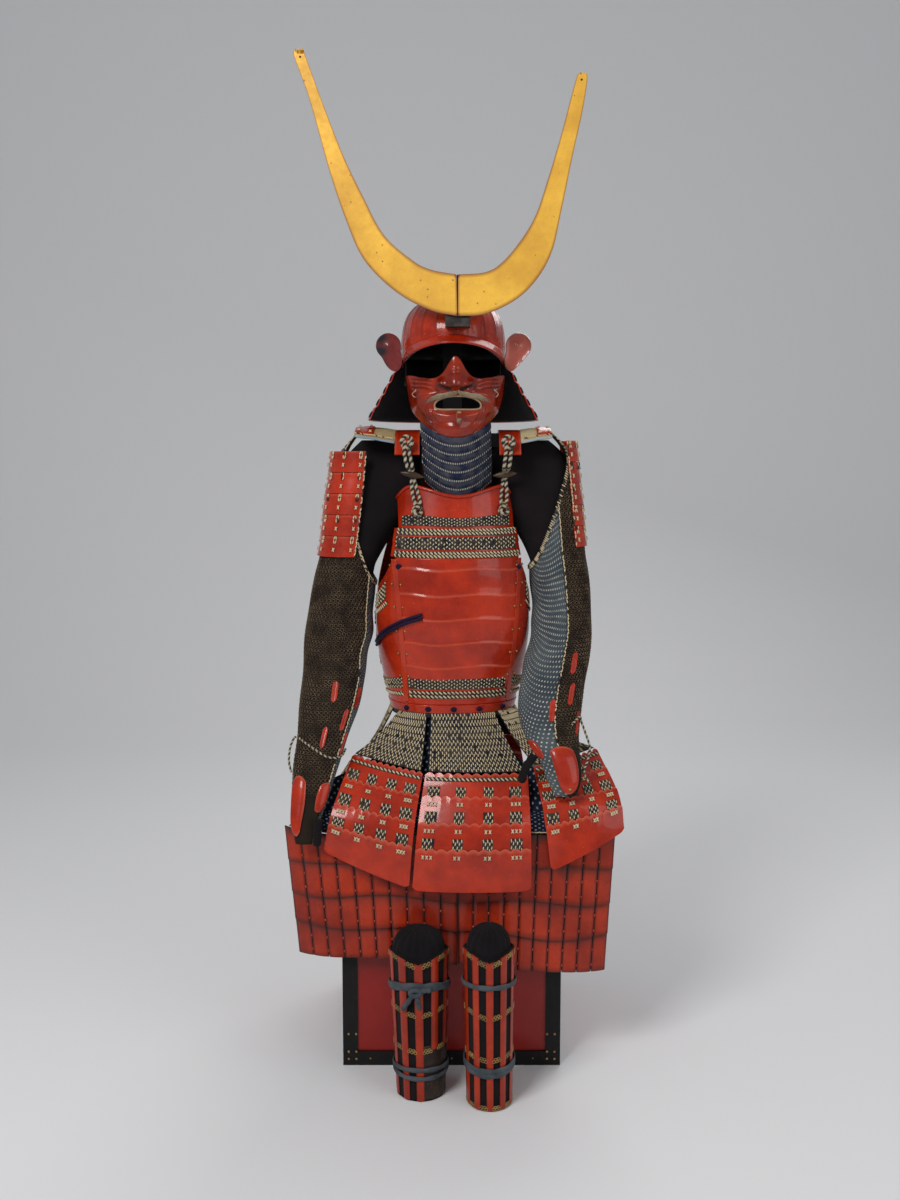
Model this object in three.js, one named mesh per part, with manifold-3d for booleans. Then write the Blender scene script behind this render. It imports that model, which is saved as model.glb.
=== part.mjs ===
// Samurai armour on its storage box stand, in millimetres, +Z up, front towards -Y.
// The origin is the middle of the storage box's underside, on the floor.
// Cloth and lacquered pieces are thin walls worked out from named sizes.
import * as THREE from 'three';
import Module from 'manifold-3d';

const wasm = await Module();
wasm.setup();

const SEAM = 0.3;
const HINGE_GAP = 2.4;
const CLOTH = 2;
const PLATE = 3;

// The cuirass and what hangs round it
const TORSO = {
  x: 1.5, yaw: THREE.MathUtils.degToRad(7), squareness: 0.85, bottom: 657, armpit: 872, back: 1116,
};
const TORSO_SECTIONS = [
  { z: 636, half: 117, deep: 97 },
  { z: 690, half: 131, deep: 107 },
  { z: 783, half: 147, deep: 122 },
  { z: 860, half: 145, deep: 124 },
  { z: 940, half: 133, deep: 119 },
  { z: 1000, half: 120, deep: 109 },
  { z: 1064, half: 110, deep: 97 },
  { z: 1120, half: 106, deep: 86 },
];
const BREAST = { hingeLow: 95, hingeHigh: 117, low: 665, high: 931, top: 934, lamesTop: 987 };
const NECKLINE = { top: 1064, dip: 18, half: 109, corner: 22 };
const WAVE = { heights: [730, 775, 820, 865, 912], swell: 2.5, waves: 3.5, ledge: 1.6, slope: 4 };
const WAIST = { bottom: 641, top: 656.7, proud: 2 };

// The shoulders: both the straps and the wings follow this arch from back to front
const SHOULDER_ARCH = [
  { y: -93, z: 1124 },
  { y: -66, z: 1154 },
  { y: -22, z: 1168 },
  { y: 24, z: 1167 },
  { y: 62, z: 1148 },
  { y: 86, z: 1119 },
];
const STRAPS = { left: { from: -105, to: -59 }, right: { from: 88, to: 128 }, thick: 4 };
const WINGS = {
  left: { from: -105.4, to: -180, front: -74, back: 46, rise: 14 },
  right: { from: 128.4, to: 186, front: -74, back: 46, rise: 12 },
};
const TOGGLES = {
  left: { top: -82, middle: -73, bottom: -63 },
  right: { top: 104, middle: 99, bottom: 97 },
  cord: 8, bead: 46, beadThick: 13, height: 1086, knot: 1022,
};

// Sleeves: level sections, the left one first
const UPPER_SLEEVE = { low: 878, high: 1083, inside: 5.1, shoulder: 1000, taper: 0.085 };
const SLEEVE = {
  left: [
    { z: 432, x: -263, y: -231, half: 17, deep: 9 },
    { z: 462, x: -262, y: -220, half: 24, deep: 12 },
    { z: 500, x: -256, y: -203, half: 31, deep: 16 },
    { z: 550, x: -248, y: -178, half: 39, deep: 24 },
    { z: 597, x: -239, y: -145, half: 45, deep: 34 },
    { z: 660, x: -227, y: -103, half: 55, deep: 46 },
    { z: 724, x: -220, y: -66, half: 59, deep: 54 },
    { z: 798, x: -214, y: -27, half: 63, deep: 60 },
    { z: 890, x: -203, y: -10, half: 58, deep: 58 },
    { z: 950, x: -192, y: -6, half: 56, deep: 57 },
    { z: 1060, x: -178, y: -2, half: 56, deep: 58 },
    { z: 1118, x: -171, y: 0, half: 46, deep: 50 },
    { z: 1171, x: -150, y: 0, half: 22, deep: 26 },
  ],
  right: [
    { z: 519, x: 203, y: -231, half: 20, deep: 8 },
    { z: 545, x: 201, y: -224, half: 30, deep: 13 },
    { z: 580, x: 194, y: -208, half: 37, deep: 19 },
    { z: 612, x: 182, y: -186, half: 47, deep: 28 },
    { z: 646, x: 178, y: -158, half: 55, deep: 38 },
    { z: 690, x: 184, y: -120, half: 59, deep: 46 },
    { z: 740, x: 196, y: -84, half: 60, deep: 52 },
    { z: 800, x: 209, y: -38, half: 56, deep: 58 },
    { z: 890, x: 206, y: -6, half: 56, deep: 58 },
    { z: 950, x: 200, y: 0, half: 54, deep: 57 },
    { z: 1060, x: 190, y: 3, half: 53, deep: 58 },
    { z: 1124, x: 184, y: 4, half: 45, deep: 50 },
    { z: 1171, x: 160, y: 2, half: 21, deep: 26 },
  ],
};
const SLEEVE_TOP = {
  left: { low: 884, high: 1170.4 }, right: { low: 912, high: 1169.2 }, bias: 1.3, split: 714, gap: 0.2,
};
const SPLINT = { length: 36, half: 0.11, proud: 2.2 };
const SPLINTS = {
  left: [{ turn: -62, z: 675 }, { turn: -8, z: 690 }, { turn: -38, z: 640 }, { turn: -4, z: 612 },
    { turn: -58, z: 598 }],
  right: [{ turn: 28, z: 742 }, { turn: 34, z: 690 }, { turn: 2, z: 664 }, { turn: 62, z: 640 }],
};
const SHOULDER_GUARD = {
  left: { from: -12, to: 128, top: 1130, bottom: 932 },
  right: { from: 36, to: 150, top: 1150, bottom: 950 },
  lames: 5, ledge: 2.6, off: 1.6, shoulder: 1080, lean: 0.1,
};
const HAND_PLATE = {
  left: { from: 12, to: 66, top: 548, bottom: 446 },
  right: { from: -22, to: 48, top: 606, bottom: 524 },
  dome: 5,
};
const THUMB_PLATE = {
  left: { from: -58, to: -18, top: 536, bottom: 486 },
  right: { from: -68, to: -36, top: 614, bottom: 584 },
};
const THUMB_STALL = {
  left: { turn: -38, z: 476, drop: 50, reach: -3, off: 9.3 },
  right: { turn: -76, z: 588, drop: 52, reach: 30, off: 4.6 },
  radius: 8.5,
};

// The skirt: three rows of corners for each tasset, inner edge then outer edge
const TASSETS = [
  { name: 'front', top: [[-48, -163, 547], [139, -163, 547]],
    middle: [[-62, -225, 452], [142, -225, 452]],
    bottom: [[-71, -241, 348], [143, -241, 348]], bulge: 11 },
  { name: 'front_left', top: [[-183, -118, 571], [-52, -163, 547]],
    middle: [[-214, -219, 490], [-67, -226, 456]],
    bottom: [[-230, -231, 418], [-76, -237, 351]], bulge: 9, inside: { across: 6, along: 4 } },
  { name: 'front_right', top: [[148, -158, 557], [270, -96, 577]],
    middle: [[162, -222, 493], [302, -186, 512]],
    bottom: [[177, -241, 384], [309, -226, 455]], bulge: 9, inside: { across: 8, along: 6 } },
  { name: 'side_left', top: [[-150, 52, 552], [-162, -58, 556]],
    middle: [[-211, 66, 482], [-211, -78, 484]], bottom: [[-223, 84, 346], [-224, -94, 350]], bulge: 8 },
  { name: 'side_right', top: [[178, -52, 556], [166, 60, 552]],
    middle: [[211, -74, 484], [211, 74, 482]], bottom: [[226, -92, 350], [224, 92, 346]], bulge: 8 },
  { name: 'back_left', top: [[-2, 146, 549], [-118, 118, 552]],
    middle: [[-2, 211, 480], [-142, 211, 482]], bottom: [[-4, 226, 344], [-160, 226, 348]], bulge: 9 },
  { name: 'back_right', top: [[134, 118, 552], [10, 146, 549]],
    middle: [[152, 211, 482], [8, 211, 480]], bottom: [[168, 226, 348], [8, 226, 344]], bulge: 9 },
];
const LAME = {
  starts: [0, 0.225, 0.445, 0.665, 1], length: 205, ledge: 3, slope: 0.02, wall: 2.4,
  inside: { across: 4, along: 2 },
};
const SCALLOP = { count: 11, depth: 2.8 };

// The apron of cloth over the box's front edge, and the plates on it
const APRON_SECTION = [
  { z: 443, y: -211.5 },
  { z: 456, y: -211 },
  { z: 474, y: -209.4 },
  { z: 482, y: -200.6 },
  { z: 510, y: -168 },
  { z: 560, y: -126 },
  { z: 654, y: -88 },
];
const APRON_EDGES = [
  { z: 443, left: -300, right: 292 },
  { z: 474, left: -277, right: 262 },
  { z: 516, left: -244, right: 214 },
  { z: 560, left: -150, right: 128 },
  { z: 600, left: -90, right: 96 },
  { z: 654, left: -70, right: 70 },
];
const APRON_HEIGHTS = [443.2, 458, 474, 482, 510, 534, 560, 594, 624, 654];
const APRON_TUCK = { from: 585, over: 46, behind: 6.5, left: -90, right: 100 };
const APRON_FOLD = { deep: 1.6, length: 21, from: 480, over: 50 };
const APRON_CURL = { left: { from: 190, radius: 120 }, right: { from: 215, radius: 180 } };
const THIGH = {
  top: 442.5, split: 11, rows: 4, ledge: 2.4, wall: 2.4, back: -211.8, lean: 8,
  left: { inner: -0.5, outer: -309, outerLow: -280, bottom: 203, lift: 12, bow: 8 },
  right: { inner: 0.5, outer: 298, outerLow: 279, bottom: 206, lift: -16, bow: -6 },
};

// Shin guards and their stuffing bags
const SHINS = {
  left: { x: -54, y: -292, halfTop: 51, halfFoot: 42, deepTop: 50, deepFoot: 44, top: 268, lean: 8 },
  right: { x: 66, y: -326, halfTop: 43, halfFoot: 38, deepTop: 48, deepFoot: 44, top: 284, lean: 4 },
  open: 62, splints: 7, ridge: 2, dip: 16, wall: 2.4,
};
const SHIN_PAD = { inset: 3.1, foot: 12, rise: 36, tuck: 0.34 };

// Helmet, ears, crest, mask and throat guard
const BOWL = { x: 3, y: -10, half: 97, deep: 122, base: 1290, top: 1408, power: 3.6, sides: 24 };
const BOWL_LEVELS = [0, 0.12, 0.26, 0.4, 0.52, 0.64, 0.78, 0.9, 1];
const BOWL_RIM = { front: 34, sides: -4 };
const BROW = { half: 68, up: 24, reach: 26, drop: 9, thick: 2.6 };
const NECK = { from: 74, half: 98.4, deep: 123.4, flare: 61, top: 1299, drop: 112, lames: 5, ledge: 3.4 };
const EAR = { radius: 23, thick: 5, left: { x: -117, tipX: -101 }, right: { x: 124, tipX: 107 } };
const EAR_PLACE = { y: -48, z: 1323, tip: 1276 };
const CREST = { y: -151, thick: 5, centre: 10.5, gap: 0.6 };
const CREST_LEFT = [
  { outX: 10, outZ: 1366, inX: 8, inZ: 1438 },
  { outX: -39, outZ: 1377, inX: -39, inZ: 1447 },
  { outX: -99, outZ: 1409, inX: -73, inZ: 1465 },
  { outX: -154, outZ: 1463, inX: -120, inZ: 1507 },
  { outX: -185, outZ: 1530, inX: -157, inZ: 1575 },
  { outX: -214, outZ: 1616, inX: -189, inZ: 1641 },
  { outX: -247, outZ: 1735, inX: -223, inZ: 1727 },
  { outX: -273, outZ: 1808, inX: -252, inZ: 1806 },
  { outX: -267, outZ: 1817, inX: -256, inZ: 1816 },
];
const CREST_RIGHT = [
  { outX: 11, outZ: 1366, inX: 12, inZ: 1438 },
  { outX: 60, outZ: 1370, inX: 59, inZ: 1442 },
  { outX: 115, outZ: 1396, inX: 89, inZ: 1459 },
  { outX: 153, outZ: 1434, inX: 123, inZ: 1499 },
  { outX: 177, outZ: 1480, inX: 148, inZ: 1542 },
  { outX: 191, outZ: 1542, inX: 169, inZ: 1604 },
  { outX: 211, outZ: 1641, inX: 190, inZ: 1674 },
  { outX: 227, outZ: 1715, inX: 206, inZ: 1735 },
  { outX: 235, outZ: 1771, inX: 216, inZ: 1771 },
  { outX: 229, outZ: 1780, inX: 221, inZ: 1780 },
];
const CREST_HOLDER = { half: 22, bottom: 1348, top: 1374 };
const MASK = { x: 7, y: -46, reach: 78, wall: 2.6, chin: 1154, jaw: 50, cheek: 1267, bridge: 32 };
const MASK_SECTIONS = [
  { z: 1154, half: 56, deep: 76 },
  { z: 1180, half: 72, deep: 82 },
  { z: 1215, half: 86, deep: 82 },
  { z: 1270, half: 94, deep: 78 },
  { z: 1305, half: 94, deep: 76 },
];
const MASK_FORMS = [
  { at: 0, wide: 0.17, z: 1250, high: 26, out: 24 },
  { at: 0, wide: 0.3, z: 1172, high: 15, out: 9 },
  { at: 0.5, wide: 0.2, z: 1240, high: 22, out: 7 },
];
const MASK_BRIDGE = { wide: 0.13, from: 1250, over: 30, out: 9 };
const MASK_SOCKET = { at: 0.4, wide: 0.24, deep: 8 };
const MOUTH = { x: 11, z: 1217, half: 42, high: 12, curve: 5 };
const LIPS = { wide: 86, half: 50, high: 22, soft: 0.3, out: 6 };
const THROAT = { rows: 7, ledge: 2.4, low: 1042, corner: 34, backset: 38, wall: 3 };

// Cords: their routes are chosen by hand
const WRIST_CORD = { diameter: 4 };
const SIDE_CORD = { diameter: 6, gap: 1.2 };

// The storage box and the post inside the armour
const BOX = { half: 200.5, height: 440, lidHalf: 204, lidTop: 475, edge: 27, panel: 4 };
const POST = {
  half: 18, base: 80, baseHigh: 18, y: 4, barHigh: 26, barHalf: 16, headRadius: 58, headHigh: 60,
};

const LOOKS = {
  lacquer: { color: 0xb52a16, roughness: 0.3, metalness: 0.05 },
  darkLacquer: { color: 0x8e2414, roughness: 0.38, metalness: 0.05 },
  gold: { color: 0xd9a227, roughness: 0.45, metalness: 0.6 },
  braid: { color: 0xb3a88c, roughness: 0.9, metalness: 0 },
  navy: { color: 0x16213f, roughness: 0.85, metalness: 0 },
  purple: { color: 0x2a1838, roughness: 0.8, metalness: 0 },
  mail: { color: 0x2e231d, roughness: 0.7, metalness: 0.2 },
  darkCloth: { color: 0x17131a, roughness: 0.95, metalness: 0 },
  blueCloth: { color: 0x2b3a56, roughness: 0.95, metalness: 0 },
  brocade: { color: 0xd2bd86, roughness: 0.85, metalness: 0 },
  iron: { color: 0x25201e, roughness: 0.6, metalness: 0.5 },
  wood: { color: 0x6b4a30, roughness: 0.7, metalness: 0 },
  boxRed: { color: 0x8c120c, roughness: 0.4, metalness: 0 },
  boxBlack: { color: 0x0e0c0c, roughness: 0.45, metalness: 0 },
};

const rad = THREE.MathUtils.degToRad;
const { clamp, lerp } = THREE.MathUtils;
const point = (x, y, z) => new THREE.Vector3(x, y, z);
const power = (value, exponent) => Math.sign(value) * Math.abs(value) ** exponent;
const bump = (distance, width) => Math.exp(-((distance / width) ** 2));

// A smooth value of one named column of a table, where its key column has the given value
function read(table, key, column, where) {
  let row = 0;
  while (row < table.length - 2 && where > table[row + 1][key]) row += 1;
  const start = table[row];
  const end = table[row + 1];
  const before = table[Math.max(row - 1, 0)];
  const after = table[Math.min(row + 2, table.length - 1)];
  const span = end[key] - start[key];
  const t = clamp((where - start[key]) / span, 0, 1);
  const slopeIn = ((end[column] - before[column]) / (end[key] - before[key])) * span;
  const slopeOut = ((after[column] - start[column]) / (after[key] - start[key])) * span;
  const bend = start[column] - end[column];
  const square = t * t;
  return start[column] + t * slopeIn - square * (2 * slopeIn + slopeOut + 3 * bend)
    + square * t * (slopeIn + slopeOut + 2 * bend);
}

// A closed mesh from triangles of points: equal points are merged and flat triangles dropped
function closedMesh(triangles) {
  const found = new Map();
  const positions = [];
  const indices = [];
  const indexOf = (p) => {
    const key = `${Math.round(p.x * 1e3)},${Math.round(p.y * 1e3)},${Math.round(p.z * 1e3)}`;
    if (!found.has(key)) {
      found.set(key, positions.length / 3);
      positions.push(p.x, p.y, p.z);
    }
    return found.get(key);
  };
  let volume = 0;
  for (const [a, b, c] of triangles) {
    const [i, j, k] = [indexOf(a), indexOf(b), indexOf(c)];
    if (i !== j && j !== k && k !== i) {
      indices.push(i, j, k);
      volume += a.dot(point().crossVectors(b, c));
    }
  }
  if (volume < 0) indices.reverse();
  const geometry = new THREE.BufferGeometry();
  geometry.setAttribute('position', new THREE.Float32BufferAttribute(positions, 3));
  geometry.setIndex(indices);
  geometry.computeVertexNormals();
  return geometry;
}

// The two triangles of each cell of a grid of points
function gridTriangles(grid, flip) {
  const triangles = [];
  for (let j = 0; j < grid.length - 1; j += 1) {
    for (let i = 0; i < grid[j].length - 1; i += 1) {
      const [a, b, c, d] = [grid[j][i], grid[j][i + 1], grid[j + 1][i + 1], grid[j + 1][i]];
      const pair = [[a, b, c], [a, c, d]];
      triangles.push(...(flip ? pair.map((t) => [...t].reverse()) : pair));
    }
  }
  return triangles;
}

// The strip between two edges of unlike point counts, each point with its share of the way along
function strip(edge, other) {
  const triangles = [];
  let i = 0;
  let j = 0;
  while (i < edge.length - 1 || j < other.length - 1) {
    const nextEdge = i < edge.length - 1 ? edge[i + 1].at : Infinity;
    const nextOther = j < other.length - 1 ? other[j + 1].at : Infinity;
    if (nextEdge <= nextOther) {
      triangles.push([edge[i + 1].p, edge[i].p, other[j].p]);
      i += 1;
    } else {
      triangles.push([edge[i].p, other[j].p, other[j + 1].p]);
      j += 1;
    }
  }
  return triangles;
}

function edgeOf(points, alongs, start) {
  return points.map((p, k) => ({ p, at: start + alongs[k] }));
}

// A thin wall: a fine outer face, a plainer inner face, and the edges that close them.
// outer and inner give a point for u across and v along, each from 0 to 1.
function wall({ across, along, outer, inner, closed = false, innerAcross, innerAlong, rows }) {
  const outerU = Array.from({ length: across + 1 }, (_, i) => i / across);
  const outerV = rows ?? Array.from({ length: along + 1 }, (_, j) => j / along);
  const innerU = Array.from({ length: innerAcross + 1 }, (_, i) => i / innerAcross);
  const innerV = Array.from({ length: innerAlong + 1 }, (_, j) => j / innerAlong);
  const front = outerV.map((v) => outerU.map((u) => outer(closed ? u % 1 : u, v)));
  const back = innerV.map((v) => innerU.map((u) => inner(closed ? u % 1 : u, v)));
  const triangles = [...gridTriangles(front, false), ...gridTriangles(back, true)];
  const column = (grid, i) => grid.map((row) => row.at(i));
  const flipped = (values) => values.map((value) => 1 - value).reverse();
  triangles.push(...strip(edgeOf(front[0], outerU, 0), edgeOf(back[0], innerU, 0)));
  triangles.push(...strip(edgeOf([...front.at(-1)].reverse(), flipped(outerU), 0),
    edgeOf([...back.at(-1)].reverse(), flipped(innerU), 0)));
  if (!closed) {
    triangles.push(...strip(edgeOf(column(front, -1), outerV, 0), edgeOf(column(back, -1), innerV, 0)));
    triangles.push(...strip(edgeOf(column(front, 0).reverse(), flipped(outerV), 0),
      edgeOf(column(back, 0).reverse(), flipped(innerV), 0)));
  }
  return closedMesh(triangles);
}

// A tube along a curve, with flat ends
function tube(points, diameter, steps, sides = 8) {
  const section = new THREE.Shape();
  for (let k = 0; k < sides; k += 1) {
    const angle = (k / sides) * Math.PI * 2;
    const [x, y] = [Math.cos(angle) * diameter * 0.5, Math.sin(angle) * diameter * 0.5];
    if (k) section.lineTo(x, y);
    else section.moveTo(x, y);
  }
  section.closePath();
  const extrudePath = new THREE.CatmullRomCurve3(points, false, 'centripetal');
  return joined(new THREE.ExtrudeGeometry(section, { steps, extrudePath, bevelEnabled: false }));
}

// One closed, merged mesh from a three.js geometry
function joined(geometry) {
  const flat = geometry.index ? geometry.toNonIndexed() : geometry;
  const position = flat.getAttribute('position');
  const corner = (k) => point().fromBufferAttribute(position, k);
  const triangles = [];
  for (let k = 0; k < position.count; k += 3) triangles.push([corner(k), corner(k + 1), corner(k + 2)]);
  return closedMesh(triangles);
}

function solid(geometry) {
  return new wasm.Manifold(new wasm.Mesh({
    numProp: 3,
    vertProperties: new Float32Array(geometry.getAttribute('position').array),
    triVerts: new Uint32Array(geometry.index.array),
  }));
}

function geometryOf(manifold) {
  const mesh = manifold.getMesh();
  const geometry = new THREE.BufferGeometry();
  geometry.setAttribute('position', new THREE.Float32BufferAttribute(mesh.vertProperties, 3));
  geometry.setIndex([...mesh.triVerts]);
  geometry.computeVertexNormals();
  return geometry;
}

function block(low, high) {
  const size = high.map((value, k) => value - low[k]);
  const middle = high.map((value, k) => (value + low[k]) / 2);
  return joined(new THREE.BoxGeometry(...size).translate(...middle));
}

const armour = new THREE.Group();

function place(name, geometry, look) {
  const mesh = new THREE.Mesh(geometry, new THREE.MeshStandardMaterial(LOOKS[look]));
  mesh.name = name;
  armour.add(mesh);
}

// A point on the cuirass: the angle is 0 at the front and grows towards +X
function torso(angle, z, out = 0) {
  const half = read(TORSO_SECTIONS, 'z', 'half', z) + out;
  const deep = read(TORSO_SECTIONS, 'z', 'deep', z) + out;
  const x = half * power(Math.sin(angle), TORSO.squareness);
  const y = -deep * power(Math.cos(angle), TORSO.squareness);
  const [c, s] = [Math.cos(TORSO.yaw), Math.sin(TORSO.yaw)];
  return point(TORSO.x + x * c - y * s, x * s + y * c, z);
}

// The angle on the cuirass where its width from the middle line is the given one
function angleAt(width, z) {
  const share = clamp(width / read(TORSO_SECTIONS, 'z', 'half', z), -1, 1);
  return Math.asin(power(share, 1 / TORSO.squareness));
}

// The y of the cuirass's front at a place across it
function frontOf(x, z) {
  let [low, high] = [-Math.PI / 2, Math.PI / 2];
  for (let k = 0; k < 40; k += 1) {
    const middle = (low + high) / 2;
    if (torso(middle, z).x < x) low = middle;
    else high = middle;
  }
  return torso(low, z).y;
}

const hingeWidth = (z) => lerp(BREAST.hingeLow, BREAST.hingeHigh,
  (z - BREAST.low) / (BREAST.high - BREAST.low));

function breastTop() {
  const topOf = (u) => {
    const side = Math.abs(2 * u - 1);
    const rounded = Math.max(0, (side - 0.78) / 0.22);
    return NECKLINE.top - NECKLINE.dip * Math.cos(Math.min(side / 0.74, 1) * Math.PI * 0.5) ** 1.5
      - NECKLINE.corner * rounded * rounded;
  };
  const bottom = BREAST.lamesTop + SEAM;
  const surface = (out) => (u, v) => {
    const z = lerp(bottom, topOf(u), v);
    return torso(angleAt((2 * u - 1) * NECKLINE.half, z), z, out);
  };
  return wall({ across: 16, along: 3, outer: surface(0), inner: surface(-PLATE),
    innerAcross: 8, innerAlong: 2 });
}

// The two laced lames under the breast's top plate, the upper one standing over the lower
function breastUpper() {
  const bottom = BREAST.top + SEAM;
  const middle = (bottom + BREAST.lamesTop) / 2;
  const rows = [0, 0.5 - LAME.slope, 0.5 + LAME.slope, 1];
  const widthOf = (v) => lerp(124, 114, v);
  const outer = (u, v) => {
    const z = lerp(bottom, BREAST.lamesTop, v);
    return torso(angleAt((2 * u - 1) * widthOf(v), z), z, z > middle ? 1.6 : 0);
  };
  const inner = (u, v) => {
    const z = lerp(bottom, BREAST.lamesTop, v);
    return torso(angleAt((2 * u - 1) * widthOf(v), z), z, -PLATE);
  };
  return wall({ across: 14, rows, outer, inner, innerAcross: 8, innerAlong: 1 });
}

// The wavy ledges across the breast plate and round onto its sides
const waveHeight = (base, angle) => base + WAVE.swell * Math.sin(angle * WAVE.waves * 1.9);

function breastPlate() {
  const levels = [TORSO.bottom];
  for (const height of WAVE.heights) levels.push(height, height + WAVE.slope);
  levels.push(BREAST.top);
  const surface = (u, z, wave, out) => {
    const width = (2 * u - 1) * hingeWidth(z);
    const angle = angleAt(width, z);
    return torso(angle, wave ? waveHeight(z, angle) : z, out);
  };
  const outer = (u, v) => {
    const k = Math.round(v * (levels.length - 1));
    const wave = k > 0 && k < levels.length - 1;
    return surface(u, levels[k], wave, wave && k % 2 ? WAVE.ledge : 0);
  };
  const rows = levels.map((_, k) => k / (levels.length - 1));
  const inner = (u, v) => surface(u, lerp(TORSO.bottom, BREAST.top, v), false, -PLATE);
  return wall({ across: 16, rows, outer, inner, innerAcross: 8, innerAlong: 4 });
}

// A side plate: from the breast plate's hinge to the arm's side, hollowed under the armpit
function sidePlate(side) {
  const end = rad(95);
  const surface = (out) => (u, v) => {
    const topAt = (angle) => TORSO.armpit + 54 * clamp((end - angle) / 0.66, 0, 1) ** 1.6;
    const guess = lerp(angleAt(hingeWidth(900), 900), end, u);
    const z = lerp(TORSO.bottom, topAt(guess), v);
    const start = angleAt(hingeWidth(z), z) + HINGE_GAP / TORSO_SECTIONS[2].half;
    return torso(side * lerp(start, end, u), z, out);
  };
  return wall({ across: 6, along: 7, outer: surface(0), inner: surface(-PLATE),
    innerAcross: 3, innerAlong: 5 });
}

function backPlate() {
  const start = rad(95.2);
  const surface = (out) => (u, v) => {
    const angle = lerp(start, 2 * Math.PI - start, u);
    const side = Math.abs(2 * u - 1);
    const rise = 1 - clamp((side - 0.52) / 0.46, 0, 1) ** 0.8;
    const dip = 20 * Math.cos(Math.min(side / 0.4, 1) * Math.PI * 0.5);
    const z = lerp(TORSO.bottom, lerp(TORSO.armpit, TORSO.back, rise) - dip, v);
    return torso(angle, z, out);
  };
  return wall({ across: 18, along: 6, outer: surface(0), inner: surface(-PLATE),
    innerAcross: 9, innerAlong: 4 });
}

function waistLame() {
  const surface = (out) => (u, v) => torso(u * Math.PI * 2, lerp(WAIST.bottom, WAIST.top, v), out);
  return wall({ across: 28, along: 1, closed: true, outer: surface(WAIST.proud),
    inner: surface(WAIST.proud - PLATE), innerAcross: 28, innerAlong: 1 });
}

const arch = (y) => read(SHOULDER_ARCH, 'y', 'z', y);

function shoulderStrap(side) {
  const { from, to } = STRAPS[side];
  const [front, back] = [SHOULDER_ARCH[0].y, SHOULDER_ARCH.at(-1).y];
  const surface = (down) => (u, v) => {
    const y = lerp(front, back, v);
    return point(lerp(from, to, u), y, arch(y) - down);
  };
  return wall({ across: 2, along: 12, outer: surface(0), inner: surface(STRAPS.thick),
    innerAcross: 2, innerAlong: 12 });
}

// A padded cloth wing that runs out from the strap over the shoulder
function shoulderWing(side) {
  const { from, to, front, back, rise } = WINGS[side];
  const surface = (down) => (u, v) => {
    const y = lerp(front, back, v);
    const lift = rise * u - 10 * u * u * Math.cos((2 * v - 1) * 1.3);
    return point(lerp(from, to, u), y, arch(y) + lift - down);
  };
  return wall({ across: 6, along: 8, outer: surface(0), inner: surface(PLATE),
    innerAcross: 3, innerAlong: 8 });
}

// A toggle fastening: a doubled cord from the strap to the breast plate, through an almond bead
function toggle(side) {
  const { top, middle, bottom } = TOGGLES[side];
  const { cord, bead, beadThick, height, knot } = TOGGLES;
  const off = cord / 2 + 1.6;
  const strapFront = SHOULDER_ARCH[0];
  const cordRoute = [
    point(top, strapFront.y + 2, strapFront.z - STRAPS.thick - 1.9),
    point(top, strapFront.y - 1, strapFront.z - STRAPS.thick - 5),
    point(lerp(top, middle, 0.6), strapFront.y - 8, lerp(strapFront.z, height, 0.6)),
    point(middle, frontOf(middle, height) - 15, height),
    point(lerp(middle, bottom, 0.55), frontOf(middle, 1056) - off - 3.5, 1054),
    point(bottom, frontOf(bottom, 1036) - off - 0.6, 1036),
    point(bottom, frontOf(bottom, knot) - off - 0.4, knot),
  ];
  const profile = [];
  for (let k = 0; k <= 6; k += 1) {
    const share = k / 6;
    profile.push(new THREE.Vector2(Math.sin(share * Math.PI) * beadThick * 0.5,
      (share - 0.5) * bead));
  }
  const almond = new THREE.LatheGeometry(profile, 8)
    .rotateZ(Math.PI / 2)
    .rotateY(rad(side === 'left' ? -12 : 6))
    .translate(middle, frontOf(middle, height) - 15, height);
  return geometryOf(solid(tube(cordRoute, cord, 9)).add(solid(joined(almond))));
}

// A point on a sleeve's outside: turn 0 faces the front and grows towards the arm's outer side
function sleevePoint(table, outward, turn, z, out = 0) {
  const half = read(table, 'z', 'half', z) + out;
  const deep = read(table, 'z', 'deep', z) + out;
  return point(read(table, 'z', 'x', z) + outward * half * Math.sin(turn),
    read(table, 'z', 'y', z) - deep * Math.cos(turn), z);
}

const SIDES = [{ side: 'left', outward: -1 }, { side: 'right', outward: 1 }];

function upperSleeve(side, outward) {
  const { low, high, inside, shoulder, taper } = UPPER_SLEEVE;
  const surface = (out) => (u, v) => {
    const z = lerp(low, high, v);
    const narrower = inside + taper * Math.max(0, z - shoulder);
    return sleevePoint(SLEEVE[side], outward, (u + 0.25) * Math.PI * 2, z, out - narrower);
  };
  return wall({ across: 12, along: 3, closed: true, outer: surface(0), inner: surface(-CLOTH),
    innerAcross: 12, innerAlong: 3 });
}

// One length of a sleeve: the upper arm, open and slanting at its top, or the forearm
function sleeve(side, outward, upper) {
  const table = SLEEVE[side];
  const { low, high } = SLEEVE_TOP[side];
  const { split, gap, bias } = SLEEVE_TOP;
  const along = upper ? 6 : 7;
  const topOf = (turn) => low + (high - low) * ((1 + Math.sin(turn)) / 2) ** bias;
  const surface = (out) => (u, v) => {
    const turn = (u + 0.25) * Math.PI * 2;
    const z = upper ? lerp(split + gap, topOf(turn), v) : lerp(table[0].z, split - gap, v);
    return sleevePoint(table, outward, turn, z, out + crease(side, turn, z));
  };
  return wall({ across: 14, along, closed: true, outer: surface(0), inner: surface(-CLOTH),
    innerAcross: 14, innerAlong: along });
}

// Soft folds across the inside of the elbow
function crease(side, turn, z) {
  const elbow = side === 'left' ? 770 : 790;
  const reach = Math.exp(-(((z - elbow) / 60) ** 2));
  const inward = clamp(-Math.sin(turn - 0.5), 0, 1);
  return 3 * reach * inward * Math.sin((z - elbow) / 13);
}

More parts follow.
